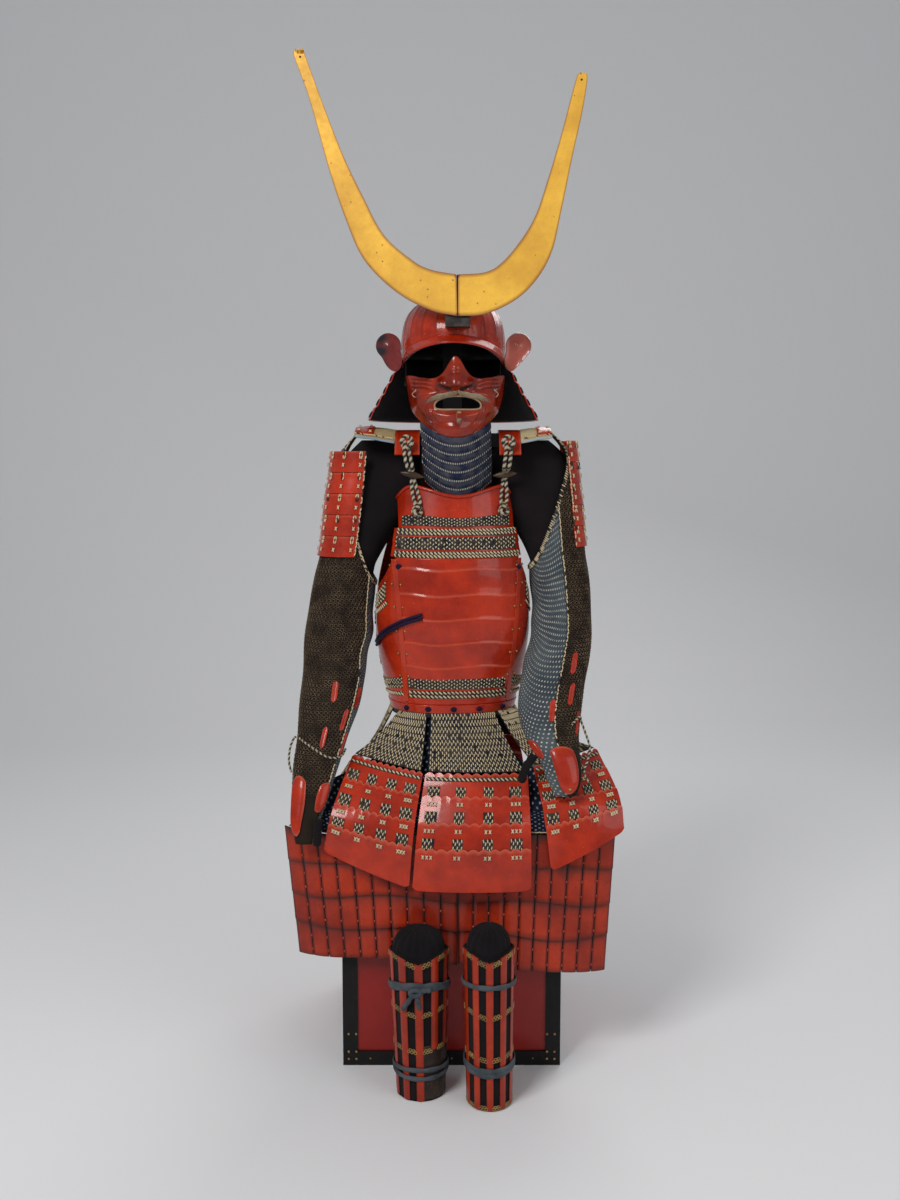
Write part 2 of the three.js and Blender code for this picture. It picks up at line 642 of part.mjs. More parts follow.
// The splints of one sleeve, each a short lacquered bar on the mail
function splint(side, outward, row) {
  const table = SLEEVE[side];
  const surface = (out) => (u, v) => {
    const turn = rad(row.turn) + lerp(-SPLINT.half, SPLINT.half, u);
    const z = row.z + lerp(-SPLINT.length, SPLINT.length, v) / 2;
    return sleevePoint(table, outward, turn, z, out);
  };
  return wall({ across: 1, along: 2, outer: surface(SPLINT.proud), inner: surface(-CLOTH * 0.98),
    innerAcross: 1, innerAlong: 2 });
}

function sleeveWithSplints(side, outward, upper) {
  const rows = SPLINTS[side].filter((row) => (row.z > SLEEVE_TOP.split) === upper);
  let body = solid(sleeve(side, outward, upper));
  for (const row of rows) body = body.add(solid(splint(side, outward, row)));
  return geometryOf(body);
}

// A shoulder guard of laced lames, each lower one standing over the one above it
function shoulderGuard(side, outward) {
  const { from, to, top, bottom } = SHOULDER_GUARD[side];
  const { lames, ledge, off, shoulder, lean } = SHOULDER_GUARD;
  const rows = [0];
  for (let k = 1; k < lames; k += 1) rows.push(k / lames - 0.012, k / lames + 0.012);
  rows.push(1);
  const surface = (out) => (u, v) => {
    const z = lerp(bottom, top, v);
    const level = Math.min(z, shoulder);
    const inward = -outward * lean * (z - level);
    return sleevePoint(SLEEVE[side], outward, rad(lerp(from, to, u)), level, out)
      .add(point(inward, 0, z - level));
  };
  const outer = (u, v) => {
    const share = v >= 1 ? 1 : (v * lames) % 1;
    return surface(off + CLOTH + ledge * (0.25 + 0.75 * share))(u, v);
  };
  return wall({ across: 10, rows, outer, inner: surface(off), innerAcross: 10, innerAlong: 5 });
}

// A domed lacquered plate on the back of the hand or the thumb
function gloveBoss(side, outward, plate, dome, cells) {
  const surface = (out, raised) => (u, v) => {
    const [across, up] = [2 * u - 1, 2 * v - 1];
    const roundness = Math.sqrt(Math.max(0, 1 - 0.5 * across * across));
    const z = lerp(plate.bottom, plate.top, 0.5 + up * 0.5 * Math.sqrt(1 - 0.35 * across * across));
    const turn = rad(lerp(plate.from, plate.to, 0.5 + across * 0.5 * Math.sqrt(1 - 0.35 * up * up)));
    const lift = raised ? dome * (1 - across * across) * (1 - up * up) * roundness : 0;
    return sleevePoint(SLEEVE[side], outward, turn, z, out + lift);
  };
  return wall({ across: cells, along: cells, outer: surface(3.4, true), inner: surface(1.5, false),
    innerAcross: 3, innerAlong: 3 });
}

// The wrapped thumb stall beside the hand plate
function thumbStall(side, outward) {
  const { turn, z, drop, reach, off } = THUMB_STALL[side];
  const { radius } = THUMB_STALL;
  const from = sleevePoint(SLEEVE[side], outward, rad(turn), z, off);
  const route = [
    from,
    point(from.x - outward * reach * 0.55, from.y - 5, from.z - drop * 0.45),
    point(from.x - outward * reach * 0.8, from.y - 9, from.z - drop * 0.95),
  ];
  return tube(route, radius * 2, 5);
}

// A tasset: laced lames with scalloped tops over a plain inside
function tassetPoint(tasset, u, v, out) {
  const rows = [tasset.top, tasset.middle, tasset.bottom].map(([inner, outer], k) => {
    const row = { v: k / 2 };
    ['x', 'y', 'z'].forEach((axis, n) => {
      row[axis] = lerp(inner[n], outer[n], u);
    });
    return row;
  });
  const spot = point(...['x', 'y', 'z'].map((axis) => read(rows, 'v', axis, v)));
  const along = point(...tasset.middle[1]).sub(point(...tasset.middle[0]));
  const outward = point(along.y, -along.x, 0).normalize();
  const arc = 1 - (2 * u - 1) ** 2;
  return spot.addScaledVector(outward, tasset.bulge * arc + out);
}

function tasset(row) {
  const { starts, length, ledge, slope, wall: thick } = LAME;
  const rows = [0];
  for (const start of starts.slice(1, -1)) rows.push(start - slope / 2, start + slope / 2);
  rows.push(1);
  const outer = (u, v) => {
    const lame = starts.findLastIndex((start) => v > start);
    const top = starts[Math.max(lame, 0)];
    const next = starts[Math.min(Math.max(lame, 0) + 1, starts.length - 1)];
    const share = clamp((v - top) / (next - top), 0, 1);
    const onEdge = v === 0 || (lame > 0 && share < 0.2) || (share > 0.8 && next < 1);
    const notch = 1 - Math.abs(Math.sin(u * SCALLOP.count * Math.PI));
    const scallop = onEdge ? (SCALLOP.depth / length) * notch : 0;
    const rounded = v === 1 ? 0.03 * clamp((Math.abs(2 * u - 1) - 0.88) / 0.12, 0, 1) : 0;
    return tassetPoint(row, u, v + scallop - rounded, thick + ledge * (1 - share));
  };
  const inner = (u, v) => tassetPoint(row, u, v, 0);
  const { across: innerAcross, along: innerAlong } = row.inside ?? LAME.inside;
  return wall({ across: SCALLOP.count * 2, rows, outer, inner, innerAcross, innerAlong });
}

// The skirt's lacing: one flap from the waist to the top of a tasset
function lacingFlap(row) {
  const waistPoint = (x, y, out) => {
    const angle = Math.atan2(x - TORSO.x, -y) - TORSO.yaw;
    return torso(angle, WAIST.bottom - SEAM, out);
  };
  const surface = (out) => (u, v) => {
    const end = tassetPoint(row, lerp(0.03, 0.97, u), 0, out + 0.6);
    end.z += SEAM + 0.1;
    const start = waistPoint(end.x, end.y, out + 0.6 - CLOTH * 0.5);
    const sag = 7 * Math.sin(v * Math.PI);
    return start.lerp(end, v).add(point(0, 0, -sag));
  };
  return wall({ across: 4, along: 2, outer: surface(CLOTH), inner: surface(0),
    innerAcross: 4, innerAlong: 2 });
}

// The whole lacing: a band under the waist lame, with a flap for each tasset
function skirtLacing() {
  const top = WAIST.bottom - SEAM;
  const surface = (out) => (u, v) => torso(u * Math.PI * 2, lerp(top - 9, top, v), out);
  const band = wall({ across: 28, along: 1, closed: true, outer: surface(1.4), inner: surface(-1.4),
    innerAcross: 28, innerAlong: 1 });
  return geometryOf(TASSETS.reduce((all, row) => all.add(solid(lacingFlap(row))), solid(band)));
}

const curlOf = (x) => {
  const { from, radius } = x < 0 ? APRON_CURL.left : APRON_CURL.right;
  const past = Math.max(0, Math.abs(x) - from);
  return (past * past) / (2 * radius);
};

// The apron cloth, from under the waist over the box's front edge
function apron() {
  const [bottom, top] = [APRON_SECTION[0].z, APRON_SECTION.at(-1).z];
  const heights = APRON_HEIGHTS;
  const surface = (back) => (u, v) => {
    const k = v * (heights.length - 1);
    const z = lerp(heights[Math.floor(k)], heights[Math.min(Math.ceil(k), heights.length - 1)], k % 1);
    const x = lerp(read(APRON_EDGES, 'z', 'left', z), read(APRON_EDGES, 'z', 'right', z), u);
    const fold = APRON_FOLD.deep * Math.sin(x / APRON_FOLD.length)
      * clamp((z - APRON_FOLD.from) / APRON_FOLD.over, 0, 1);
    const tuck = clamp((z - APRON_TUCK.from) / APRON_TUCK.over, 0, 1);
    const waist = frontOf(clamp(x, APRON_TUCK.left, APRON_TUCK.right), TORSO_SECTIONS[0].z)
      + APRON_TUCK.behind;
    const y = lerp(read(APRON_SECTION, 'z', 'y', z) + curlOf(x) + fold, waist, tuck);
    return point(x, y + back, clamp(z, bottom, top) - (z > 476 && z < 600 ? back * 0.6 : 0));
  };
  return wall({ across: 18, along: heights.length - 1, outer: surface(0), inner: surface(CLOTH),
    innerAcross: 18, innerAlong: heights.length - 1 });
}

// The plates over the thighs, in rows, each upper row standing over the lower
function thighGuard(side) {
  const { inner: from, outer: to, outerLow, bottom, lift, bow } = THIGH[side];
  const { top, rows: count, ledge, wall: thick, split, back, lean } = THIGH;
  const rows = [0];
  for (let k = 1; k < count; k += 1) rows.push(k / count - 0.01, k / count + 0.01);
  rows.push(1);
  const surface = (out) => (u, v) => {
    const slant = lift * u * v + bow * Math.sin(u * Math.PI) * v;
    const z = lerp(top, bottom, v) + slant;
    const x = split + lerp(from, lerp(to, outerLow, v) - split, u);
    return point(x, back - lean * v + curlOf(x) - out, z);
  };
  const outer = (u, v) => {
    const share = v >= 1 ? 1 : (v * count) % 1;
    return surface(thick + ledge * (0.2 + 0.8 * share))(u, v);
  };
  return wall({ across: 18, rows, outer, inner: surface(0), innerAcross: 9, innerAlong: 2 });
}

// A point on a shin guard: turn 0 faces the front
function shinPoint(side, turn, share, out) {
  const shin = SHINS[side];
  const half = lerp(shin.halfFoot, shin.halfTop, share) + out;
  const deep = lerp(shin.deepFoot, shin.deepTop, share) + out;
  return [shin.x + half * Math.sin(turn) - shin.lean * share * 0.5, shin.y - deep * Math.cos(turn)];
}

// A shin guard of upright splints, wrapped round the front, open behind
function shinGuard(side) {
  const shin = SHINS[side];
  const { open, splints, ridge, dip, wall: thick } = SHINS;
  const reach = rad(180 - open);
  const surface = (out, raised) => (u, v) => {
    const turn = lerp(-reach, reach, u);
    const bar = raised ? ridge * (Math.abs(((u * splints * 2) % 2) - 1) < 0.3 ? 1 : 0) : 0;
    const top = shin.top - dip * (Math.abs(2 * u - 1) < 0.45 ? 1 - Math.abs(2 * u - 1) / 0.45 : 0)
      - 8 * Math.abs(2 * u - 1) ** 3;
    const [x, y] = shinPoint(side, turn, v, out + bar);
    return point(x, y, lerp(0, top, v));
  };
  return wall({ across: splints * 4, along: 3, outer: surface(0, true), inner: surface(-thick, false),
    innerAcross: 14, innerAlong: 3 });
}

// The gathered stuffing bag inside a shin guard
function shinPad(side) {
  const shin = SHINS[side];
  const { inset, foot, rise, tuck } = SHIN_PAD;
  const levels = [
    { v: 0, z: foot, size: 0.02 }, { v: 0.06, z: foot, size: 0.9 }, { v: 0.2, z: foot + 22, size: 1 },
    { v: 0.6, z: shin.top - 26, size: 1 }, { v: 0.8, z: shin.top + 8, size: 0.92 },
    { v: 0.92, z: shin.top + rise - 6, size: 0.62 }, { v: 1, z: shin.top + rise, size: 0.02 },
  ];
  const sides = 16;
  const ring = (level) => Array.from({ length: sides + 1 }, (_, k) => {
    const turn = ((k % sides) / sides) * Math.PI * 2;
    const [x, y] = shinPoint(side, turn, clamp(level.z / shin.top, 0, 1), -inset);
    const pleat = level.z > shin.top - 20 ? 1 - tuck * 0.12 * (k % 2) : 1;
    const size = level.size < 0.1 ? 0 : level.size * pleat;
    return point(shin.x - shin.lean * 0.5 + (x - shin.x + shin.lean * 0.5) * size,
      shin.y + (y - shin.y) * size, level.z);
  });
  return closedMesh(gridTriangles(levels.map(ring), false));
}

const bowlFront = (turn) => (Math.cos(turn) > 0 ? Math.cos(turn) : 0) ** 1.5;

// A point on the helmet's bowl: turn 0 faces the front, level 0 is the crown
function bowlPoint(turn, level, out = 0) {
  const rim = BOWL.base + BOWL_RIM.front * bowlFront(turn)
    + BOWL_RIM.sides * (1 - Math.abs(Math.cos(turn)));
  const lift = (rim - BOWL.base) * clamp((level - 0.55) / 0.45, 0, 1);
  const angle = level * Math.PI * 0.5;
  const spread = power(Math.sin(angle), 2 / BOWL.power);
  const rise = power(Math.cos(angle), 2 / BOWL.power);
  return point(BOWL.x + (BOWL.half + out) * spread * Math.sin(turn),
    BOWL.y - (BOWL.deep + out) * spread * Math.cos(turn),
    BOWL.base + lift + (BOWL.top + out - BOWL.base - lift) * rise);
}

function bowl() {
  const rows = BOWL_LEVELS;
  const outer = (u, v) => bowlPoint(u * Math.PI * 2, v);
  const inner = (u, v) => bowlPoint(u * Math.PI * 2, v, -PLATE);
  return wall({ across: BOWL.sides, rows, closed: true, outer, inner,
    innerAcross: BOWL.sides / 2, innerAlong: 6 });
}

// The brow plate, from the bowl's front out to the rim over the mask
function brow() {
  const surface = (up) => (u, v) => {
    const turn = rad(lerp(-BROW.half, BROW.half, u));
    const front = bowlFront(turn);
    const root = bowlPoint(turn, 0.985, 0.9);
    const reach = v * BROW.reach * (0.25 + 0.75 * front);
    return point(root.x + reach * 0.25 * Math.sin(turn), root.y - reach * Math.cos(turn * 0.8),
      root.z - 3 + BROW.up * 0.25 * (1 - v) - BROW.drop * v + up);
  };
  return wall({ across: 14, along: 2, outer: surface(BROW.thick), inner: surface(0),
    innerAcross: 14, innerAlong: 1 });
}

// The neck guard: lames that flare out and down round the back, each lower one outside
function neckGuard() {
  const start = rad(NECK.from);
  const rows = [0];
  for (let k = 1; k < NECK.lames; k += 1) rows.push(k / NECK.lames - 0.015, k / NECK.lames + 0.015);
  rows.push(1);
  const surface = (out) => (u, v) => {
    const turn = lerp(start, 2 * Math.PI - start, u);
    const spread = NECK.flare * v ** 1.15 + out;
    return point(BOWL.x + (NECK.half + spread) * Math.sin(turn),
      BOWL.y - (NECK.deep + spread) * Math.cos(turn), NECK.top - NECK.drop * v);
  };
  const outer = (u, v) => {
    const share = v >= 1 ? 1 : (v * NECK.lames) % 1;
    return surface(PLATE * 0.7 + NECK.ledge * (1 - share))(u, v);
  };
  return wall({ across: 20, rows, outer, inner: surface(-0.6), innerAcross: 20, innerAlong: 2 });
}

// An ear-shaped leaf: round above, drawn to a point where it meets the helmet
function ear(side) {
  const { x, tipX } = EAR[side];
  const outline = new THREE.Shape();
  const steps = 18;
  const start = side === 'left' ? -48 : 228;
  const turnBy = side === 'left' ? 1 : -1;
  outline.moveTo(tipX, EAR_PLACE.tip);
  for (let k = 0; k <= steps; k += 1) {
    const angle = rad(start + turnBy * (k / steps) * 262);
    outline.lineTo(x + EAR.radius * Math.cos(angle), EAR_PLACE.z + EAR.radius * Math.sin(angle));
  }
  outline.closePath();
  const leaf = joined(new THREE.ExtrudeGeometry(outline, { depth: EAR.thick, bevelEnabled: false })
    .rotateX(Math.PI / 2)
    .translate(0, EAR_PLACE.y, 0));
  return geometryOf(solid(leaf).subtract(solid(bowlFilled(0.4))));
}

// The bowl as a filled form, larger by a margin, for cutting what is seated on it
function bowlFilled(margin) {
  const turns = Array.from({ length: BOWL.sides + 1 },
    (_, k) => ((k % BOWL.sides) / BOWL.sides) * Math.PI * 2);
  const grid = BOWL_LEVELS.map((level) => turns.map((turn) => bowlPoint(turn, level, margin)));
  grid.push(turns.map(() => point(BOWL.x, BOWL.y, BOWL.base - 10)));
  return closedMesh(gridTriangles(grid, false));
}

// One half of the crest: a flat horn between its outer and inner edges
function crestHalf(table) {
  const edge = (x, z) => new THREE.SplineCurve(table.map((row) => new THREE.Vector2(row[x], row[z])));
  const outline = new THREE.Shape([...edge('outX', 'outZ').getPoints(17),
    ...edge('inX', 'inZ').getPoints(17).reverse()]);
  return joined(new THREE.ExtrudeGeometry(outline, { depth: CREST.thick, bevelEnabled: false })
    .rotateX(Math.PI / 2)
    .translate(0, CREST.y + CREST.thick / 2, 0));
}

// The bracket that carries the crest on the helmet's brow
function crestHolder() {
  const { half, bottom, top } = CREST_HOLDER;
  const middle = CREST.centre;
  const back = CREST.y + CREST.thick / 2 + SEAM;
  const shelf = block([middle - half, back, bottom], [middle + half, BOWL.y - BOWL.deep + 24, top]);
  const lip = block([middle - half, CREST.y - 6, bottom], [middle + half, back + 1, bottom + 14]);
  return geometryOf(solid(shelf).add(solid(lip)).subtract(solid(bowlFilled(0.4))));
}

const maskFoot = (across) => MASK.chin + MASK.jaw * Math.abs(across) ** 2.1;

function maskTop(across) {
  const socket = MASK_SOCKET.deep * bump(Math.abs(across) - MASK_SOCKET.at, MASK_SOCKET.wide);
  return MASK.cheek + MASK.bridge * bump(across, MASK_BRIDGE.wide) - socket;
}

// Raised forms of the mask: nose, chin, cheeks, bridge and lips
function maskRelief(across, z) {
  const forms = MASK_FORMS.reduce((sum, form) => sum
    + form.out * bump(Math.abs(across) - form.at, form.wide) * bump(z - form.z, form.high), 0);
  const bridge = MASK_BRIDGE.out * bump(across, MASK_BRIDGE.wide)
    * clamp((z - MASK_BRIDGE.from) / MASK_BRIDGE.over, 0, 1);
  const ring = Math.hypot((across * LIPS.wide) / LIPS.half, (z - MOUTH.z) / LIPS.high);
  return forms + bridge + LIPS.out * bump(ring - 1, LIPS.soft);
}

function maskPoint(across, z, out) {
  const turn = rad(MASK.reach) * across;
  const half = read(MASK_SECTIONS, 'z', 'half', z) + out;
  const deep = read(MASK_SECTIONS, 'z', 'deep', z) + out;
  return point(MASK.x + half * Math.sin(turn), MASK.y - deep * Math.cos(turn), z);
}

function mask() {
  const surface = (out) => (u, v) => {
    const across = 2 * u - 1;
    const z = lerp(maskFoot(across), maskTop(across), v);
    return maskPoint(across, z, out + maskRelief(across, z));
  };
  const face = wall({ across: 18, along: 14, outer: surface(0), inner: surface(-MASK.wall),
    innerAcross: 18, innerAlong: 5 });
  const lips = new THREE.Shape();
  const steps = 16;
  for (let k = 0; k < steps; k += 1) {
    const angle = (k / steps) * Math.PI * 2;
    const x = MOUTH.x + MOUTH.half * power(Math.cos(angle), 0.8);
    const z = MOUTH.z + MOUTH.high * power(Math.sin(angle), 0.8)
      - MOUTH.curve * Math.cos(angle) ** 2 + MOUTH.curve * 0.5;
    if (k) lips.lineTo(x, z);
    else lips.moveTo(x, z);
  }
  lips.closePath();
  const cutter = joined(new THREE.ExtrudeGeometry(lips, { depth: 120, bevelEnabled: false })
    .rotateX(Math.PI / 2)
    .translate(0, -60, 0));
  return geometryOf(solid(face).subtract(solid(cutter)));
}

// The throat guard hangs from the mask's lower edge, in laced rows
function throatGuard() {
  const reach = 0.78;
  const footOf = (across) => THROAT.low + THROAT.corner * Math.abs(across / reach) ** 2;
  const surface = (out) => (u, v) => {
    const across = lerp(-reach, reach, u);
    const top = maskFoot(across);
    const z = lerp(top - SEAM - 0.2, footOf(across), v);
    const edge = maskPoint(across, top, -MASK.wall * 0.5 + maskRelief(across, top));
    const back = THROAT.backset * v ** 1.3;
    const side = 1 - 0.02 * v;
    return point(MASK.x + (edge.x - MASK.x) * side + 5 * v + out * Math.sin(across),
      edge.y + back - out * Math.cos(across), z);
  };
  const rows = [0];
  for (let k = 1; k < THROAT.rows; k += 1) rows.push(k / THROAT.rows - 0.012, k / THROAT.rows + 0.012);
  rows.push(1);
  const outer = (u, v) => {
    const share = v >= 1 ? 1 : (v * THROAT.rows) % 1;
    return surface(THROAT.ledge * (1 - share) * clamp(v * 8, 0, 1))(u, v);
  };
  return wall({ across: 14, rows, outer, inner: surface(-THROAT.wall), innerAcross: 14, innerAlong: 2 });
}

// The left wrist's cord: round the glove and out in a loop
function wristCordLeft() {
  const lift = WRIST_CORD.diameter / 2 + 1;
  const on = (turn, z) => sleevePoint(SLEEVE.left, -1, rad(turn), z, lift);
  return tube([on(-96, 585), on(-70, 578), on(-45, 576), on(-20, 580), on(5, 590), on(30, 600),
    on(58, 607), point(-289, -150, 606), point(-296, -158, 588), point(-297, -168, 566),
    point(-292, -176, 548)], WRIST_CORD.diameter, 25);
}

// The right wrist's cord: a loop that stands off the glove, its ends hanging down
function wristCordRight() {
  const lift = WRIST_CORD.diameter / 2 + 3;
  const on = (turn, z) => sleevePoint(SLEEVE.right, 1, rad(turn), z, lift);
  return tube([on(40, 640), on(62, 650), on(78, 640), point(243, -180, 620), point(250, -186, 596),
    point(245, -196, 574), point(238, -206, 560), point(240, -214, 548), point(247, -220, 540)],
  WRIST_CORD.diameter, 24);
}

// The purple cord that closes the cuirass's side, in two runs with bare ends
function sideCord(run) {
  const lift = SIDE_CORD.diameter / 2 + WAVE.ledge + 1.1;
  const shift = run * (SIDE_CORD.diameter + SIDE_CORD.gap);
  const on = (angle, z) => torso(rad(angle), z - shift, lift - (angle < -60 ? 2.4 : 0));
  return tube([on(-86, 768), on(-74, 782), on(-62, 796), on(-50, 808), on(-38, 820), on(-24, 831)],
    SIDE_CORD.diameter, 8);
}

// The storage box: a black frame round red panels, with its lid
function boxParts() {
  const { half, height, edge, panel, lidHalf, lidTop } = BOX;
  const inner = half - panel;
  const shell = solid(block([-half, -half, 0], [half, half, height]))
    .subtract(solid(block([-inner, -inner, panel], [inner, inner, height + 10])))
    .subtract(solid(block([-half + edge, -half - 5, edge], [half - edge, half + 5, height - edge])))
    .subtract(solid(block([-half - 5, -half + edge, edge], [half + 5, half - edge, height - edge])));
  place('box_frame', geometryOf(shell), 'boxBlack');
  const core = inner - SEAM;
  place('box_case', block([-core, -core, panel + SEAM], [core, core, height - 0.2]), 'boxRed');
  place('box_lid', block([-lidHalf, -lidHalf, height + SEAM], [lidHalf, lidHalf, lidTop]), 'boxBlack');
}

// The post on the lid: shoulder bar, head block for the helmet, arm for the mask
function standPost() {
  const { half, base, baseHigh, y, barHigh, barHalf, headRadius, headHigh } = POST;
  const floor = BOX.lidTop + SEAM;
  const crown = BOWL.top - PLATE - 0.8;
  const middle = TORSO.x;
  const barTop = Math.min(arch(y - barHalf), arch(y + barHalf)) - STRAPS.thick - 0.6;
  const maskBack = maskPoint(0, 1186, maskRelief(0, 1186) - MASK.wall).y + 1.9;
  const profile = [[0, -headHigh], [headRadius, -headHigh], [headRadius * 0.85, -22], [8, 0], [0, 0]];
  const head = joined(new THREE.LatheGeometry(profile.map(([r, z]) => new THREE.Vector2(r, z)), 12)
    .rotateX(Math.PI / 2)
    .translate(BOWL.x, BOWL.y, crown));
  const bars = [
    block([middle - base, y - base, floor], [middle + base, y + base, floor + baseHigh]),
    block([middle - half, y - half, floor], [middle + half, y + half, crown - 20]),
    block([STRAPS.left.from + 3, y - barHalf, barTop - barHigh],
      [STRAPS.right.to - 3, y + barHalf, barTop]),
    block([MASK.x - 7, maskBack, 1178], [MASK.x + 7, y, 1192]),
  ];
  return geometryOf(bars.reduce((all, bar) => all.add(solid(bar)), solid(head)));
}

boxParts();
place('stand_post', standPost(), 'wood');
place('helmet_bowl', bowl(), 'lacquer');
place('helmet_brow', brow(), 'lacquer');
place('neck_guard', neckGuard(), 'lacquer');
place('ear_left', ear('left'), 'lacquer');
place('ear_right', ear('right'), 'lacquer');
place('crest_left', crestHalf(CREST_LEFT), 'gold');
place('crest_right', crestHalf(CREST_RIGHT.map((row, k) => (k ? row
  : { ...row, outX: CREST.centre + CREST.gap, inX: CREST.centre + CREST.gap }))), 'gold');
place('crest_holder', crestHolder(), 'iron');
place('mask', mask(), 'lacquer');
place('throat_guard', throatGuard(), 'navy');
place('breast_top', breastTop(), 'lacquer');
place('breast_upper', breastUpper(), 'lacquer');
place('breast_plate', breastPlate(), 'lacquer');
place('side_plate_left', sidePlate(-1), 'lacquer');
place('side_plate_right', sidePlate(1), 'lacquer');
place('back_plate', backPlate(), 'lacquer');
place('waist_lame', waistLame(), 'lacquer');
for (const { side, outward } of SIDES) {
  place(`shoulder_strap_${side}`, shoulderStrap(side), 'lacquer');
  place(`shoulder_wing_${side}`, shoulderWing(side), 'brocade');
  place(`toggle_${side}`, toggle(side), 'braid');
  place(`upper_sleeve_${side}`, upperSleeve(side, outward), 'darkCloth');
  place(`sleeve_${side}`, sleeveWithSplints(side, outward, true), 'mail');
  place(`forearm_${side}`, sleeveWithSplints(side, outward, false), 'mail');
  place(`shoulder_guard_${side}`, shoulderGuard(side, outward), 'lacquer');
  place(`hand_plate_${side}`, gloveBoss(side, outward, HAND_PLATE[side], HAND_PLATE.dome, 6), 'lacquer');
  place(`thumb_plate_${side}`, gloveBoss(side, outward, THUMB_PLATE[side], 3, 4), 'lacquer');
  place(`thumb_stall_${side}`, thumbStall(side, outward), 'darkCloth');
  place(`thigh_guard_${side}`, thighGuard(side), 'darkLacquer');
  place(`shin_guard_${side}`, shinGuard(side), 'darkLacquer');
  place(`shin_pad_${side}`, shinPad(side), 'darkCloth');
}
for (const row of TASSETS) place(`tasset_${row.name}`, tasset(row), 'lacquer');
place('skirt_lacing', skirtLacing(), 'braid');
place('thigh_apron', apron(), 'blueCloth');
place('wrist_cord_left', wristCordLeft(), 'braid');
place('wrist_cord_right', wristCordRight(), 'braid');
place('side_cord_upper', sideCord(0), 'purple');
place('side_cord_lower', sideCord(1), 'purple');

export default armour;
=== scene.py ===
"""The looks of a samurai armour on its storage box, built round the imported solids."""

import logging
import random
from collections.abc import Callable, Iterable, Sequence
from dataclasses import dataclass, field
from enum import Enum
from math import asin, atan2, copysign, cos, exp, hypot, pi, radians, sin, sqrt, tau

import bmesh
import bpy
from mathutils import Matrix, Vector


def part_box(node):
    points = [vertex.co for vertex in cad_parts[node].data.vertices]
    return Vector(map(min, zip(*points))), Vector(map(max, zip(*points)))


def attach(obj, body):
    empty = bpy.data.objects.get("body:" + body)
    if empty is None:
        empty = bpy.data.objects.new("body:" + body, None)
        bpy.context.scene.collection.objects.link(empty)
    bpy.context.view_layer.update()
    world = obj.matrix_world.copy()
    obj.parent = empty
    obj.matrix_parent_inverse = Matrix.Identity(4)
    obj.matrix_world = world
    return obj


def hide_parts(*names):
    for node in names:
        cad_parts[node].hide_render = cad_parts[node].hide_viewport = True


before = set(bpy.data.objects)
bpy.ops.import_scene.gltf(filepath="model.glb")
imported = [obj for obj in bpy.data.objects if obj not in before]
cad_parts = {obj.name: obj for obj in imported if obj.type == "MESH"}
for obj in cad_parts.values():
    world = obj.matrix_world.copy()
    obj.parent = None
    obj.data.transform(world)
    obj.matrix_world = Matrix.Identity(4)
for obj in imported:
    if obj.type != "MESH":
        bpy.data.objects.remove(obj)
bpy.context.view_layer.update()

LOG = logging.getLogger("armour")
MM = 0.001
TAU = tau
BODY = "root"

Table = Sequence[Sequence[float]]
Surface = Callable[[float, float], Vector]
Core = Callable[[Vector], Vector]
Shape = Callable[[bmesh.types.BMesh], None]

# The form, in millimetres: the same tables as the solids
TORSO_X = 1.5
TORSO_YAW = radians(7)
TORSO_SQUARE = 0.85
TORSO_SECTIONS = (
    (636, 117, 97), (690, 131, 107), (783, 147, 122), (860, 145, 124),
    (940, 133, 119), (1000, 120, 109), (1064, 110, 97), (1120, 106, 86),
)
WAVES = (730, 775, 820, 865, 912)
SHOULDER_ARCH = ((-93, 1124), (-66, 1154), (-22, 1168), (24, 1167), (62, 1148), (86, 1119))
SLEEVES = {
    "left": (
        (432, -263, -231, 17, 9), (462, -262, -220, 24, 12), (500, -256, -203, 31, 16),
        (550, -248, -178, 39, 24), (597, -239, -145, 45, 34), (660, -227, -103, 55, 46),
        (724, -220, -66, 59, 54), (798, -214, -27, 63, 60), (890, -203, -10, 58, 58),
        (950, -192, -6, 56, 57), (1060, -178, -2, 56, 58), (1118, -171, 0, 46, 50),
        (1171, -150, 0, 22, 26),
    ),
    "right": (
        (519, 203, -231, 20, 8), (545, 201, -224, 30, 13), (580, 194, -208, 37, 19),
        (612, 182, -186, 47, 28), (646, 178, -158, 55, 38), (690, 184, -120, 59, 46),
        (740, 196, -84, 60, 52), (800, 209, -38, 56, 58), (890, 206, -6, 56, 58),
        (950, 200, 0, 54, 57), (1060, 190, 3, 53, 58), (1124, 184, 4, 45, 50),
        (1171, 160, 2, 21, 26),
    ),
}
LAME_STARTS = (0, 0.225, 0.445, 0.665, 1)
APRON_SECTION = ((443, -211.5), (456, -211), (474, -209.4), (482, -200.6), (510, -168), (560, -126), (654, -88))
APRON_EDGES = ((443, -300, 292), (474, -277, 262), (516, -244, 214), (560, -150, 128), (600, -90, 96), (654, -70, 70))
BOWL_MIDDLE = Vector((3, -10, 1290))
BOWL_HALF, BOWL_DEEP, BOWL_TOP, BOWL_POWER = 97, 122, 1408, 3.6
CREST_LEFT = ((10, 1366, 8, 1438), (-39, 1377, -39, 1447), (-99, 1409, -73, 1465), (-154, 1463, -120, 1507),
              (-185, 1530, -157, 1575), (-214, 1616, -189, 1641), (-247, 1735, -223, 1727), (-273, 1808, -252, 1806),
              (-267, 1817, -256, 1816))
CREST_RIGHT = ((11.1, 1366, 11.1, 1438), (60, 1370, 59, 1442), (115, 1396, 89, 1459), (153, 1434, 123, 1499),
               (177, 1480, 148, 1542), (191, 1542, 169, 1604), (211, 1641, 190, 1674), (227, 1715, 206, 1735),
               (235, 1771, 216, 1771), (229, 1780, 221, 1780))
MASK_SECTIONS = ((1154, 56, 76), (1180, 72, 82), (1215, 86, 82), (1270, 94, 78), (1305, 94, 76))


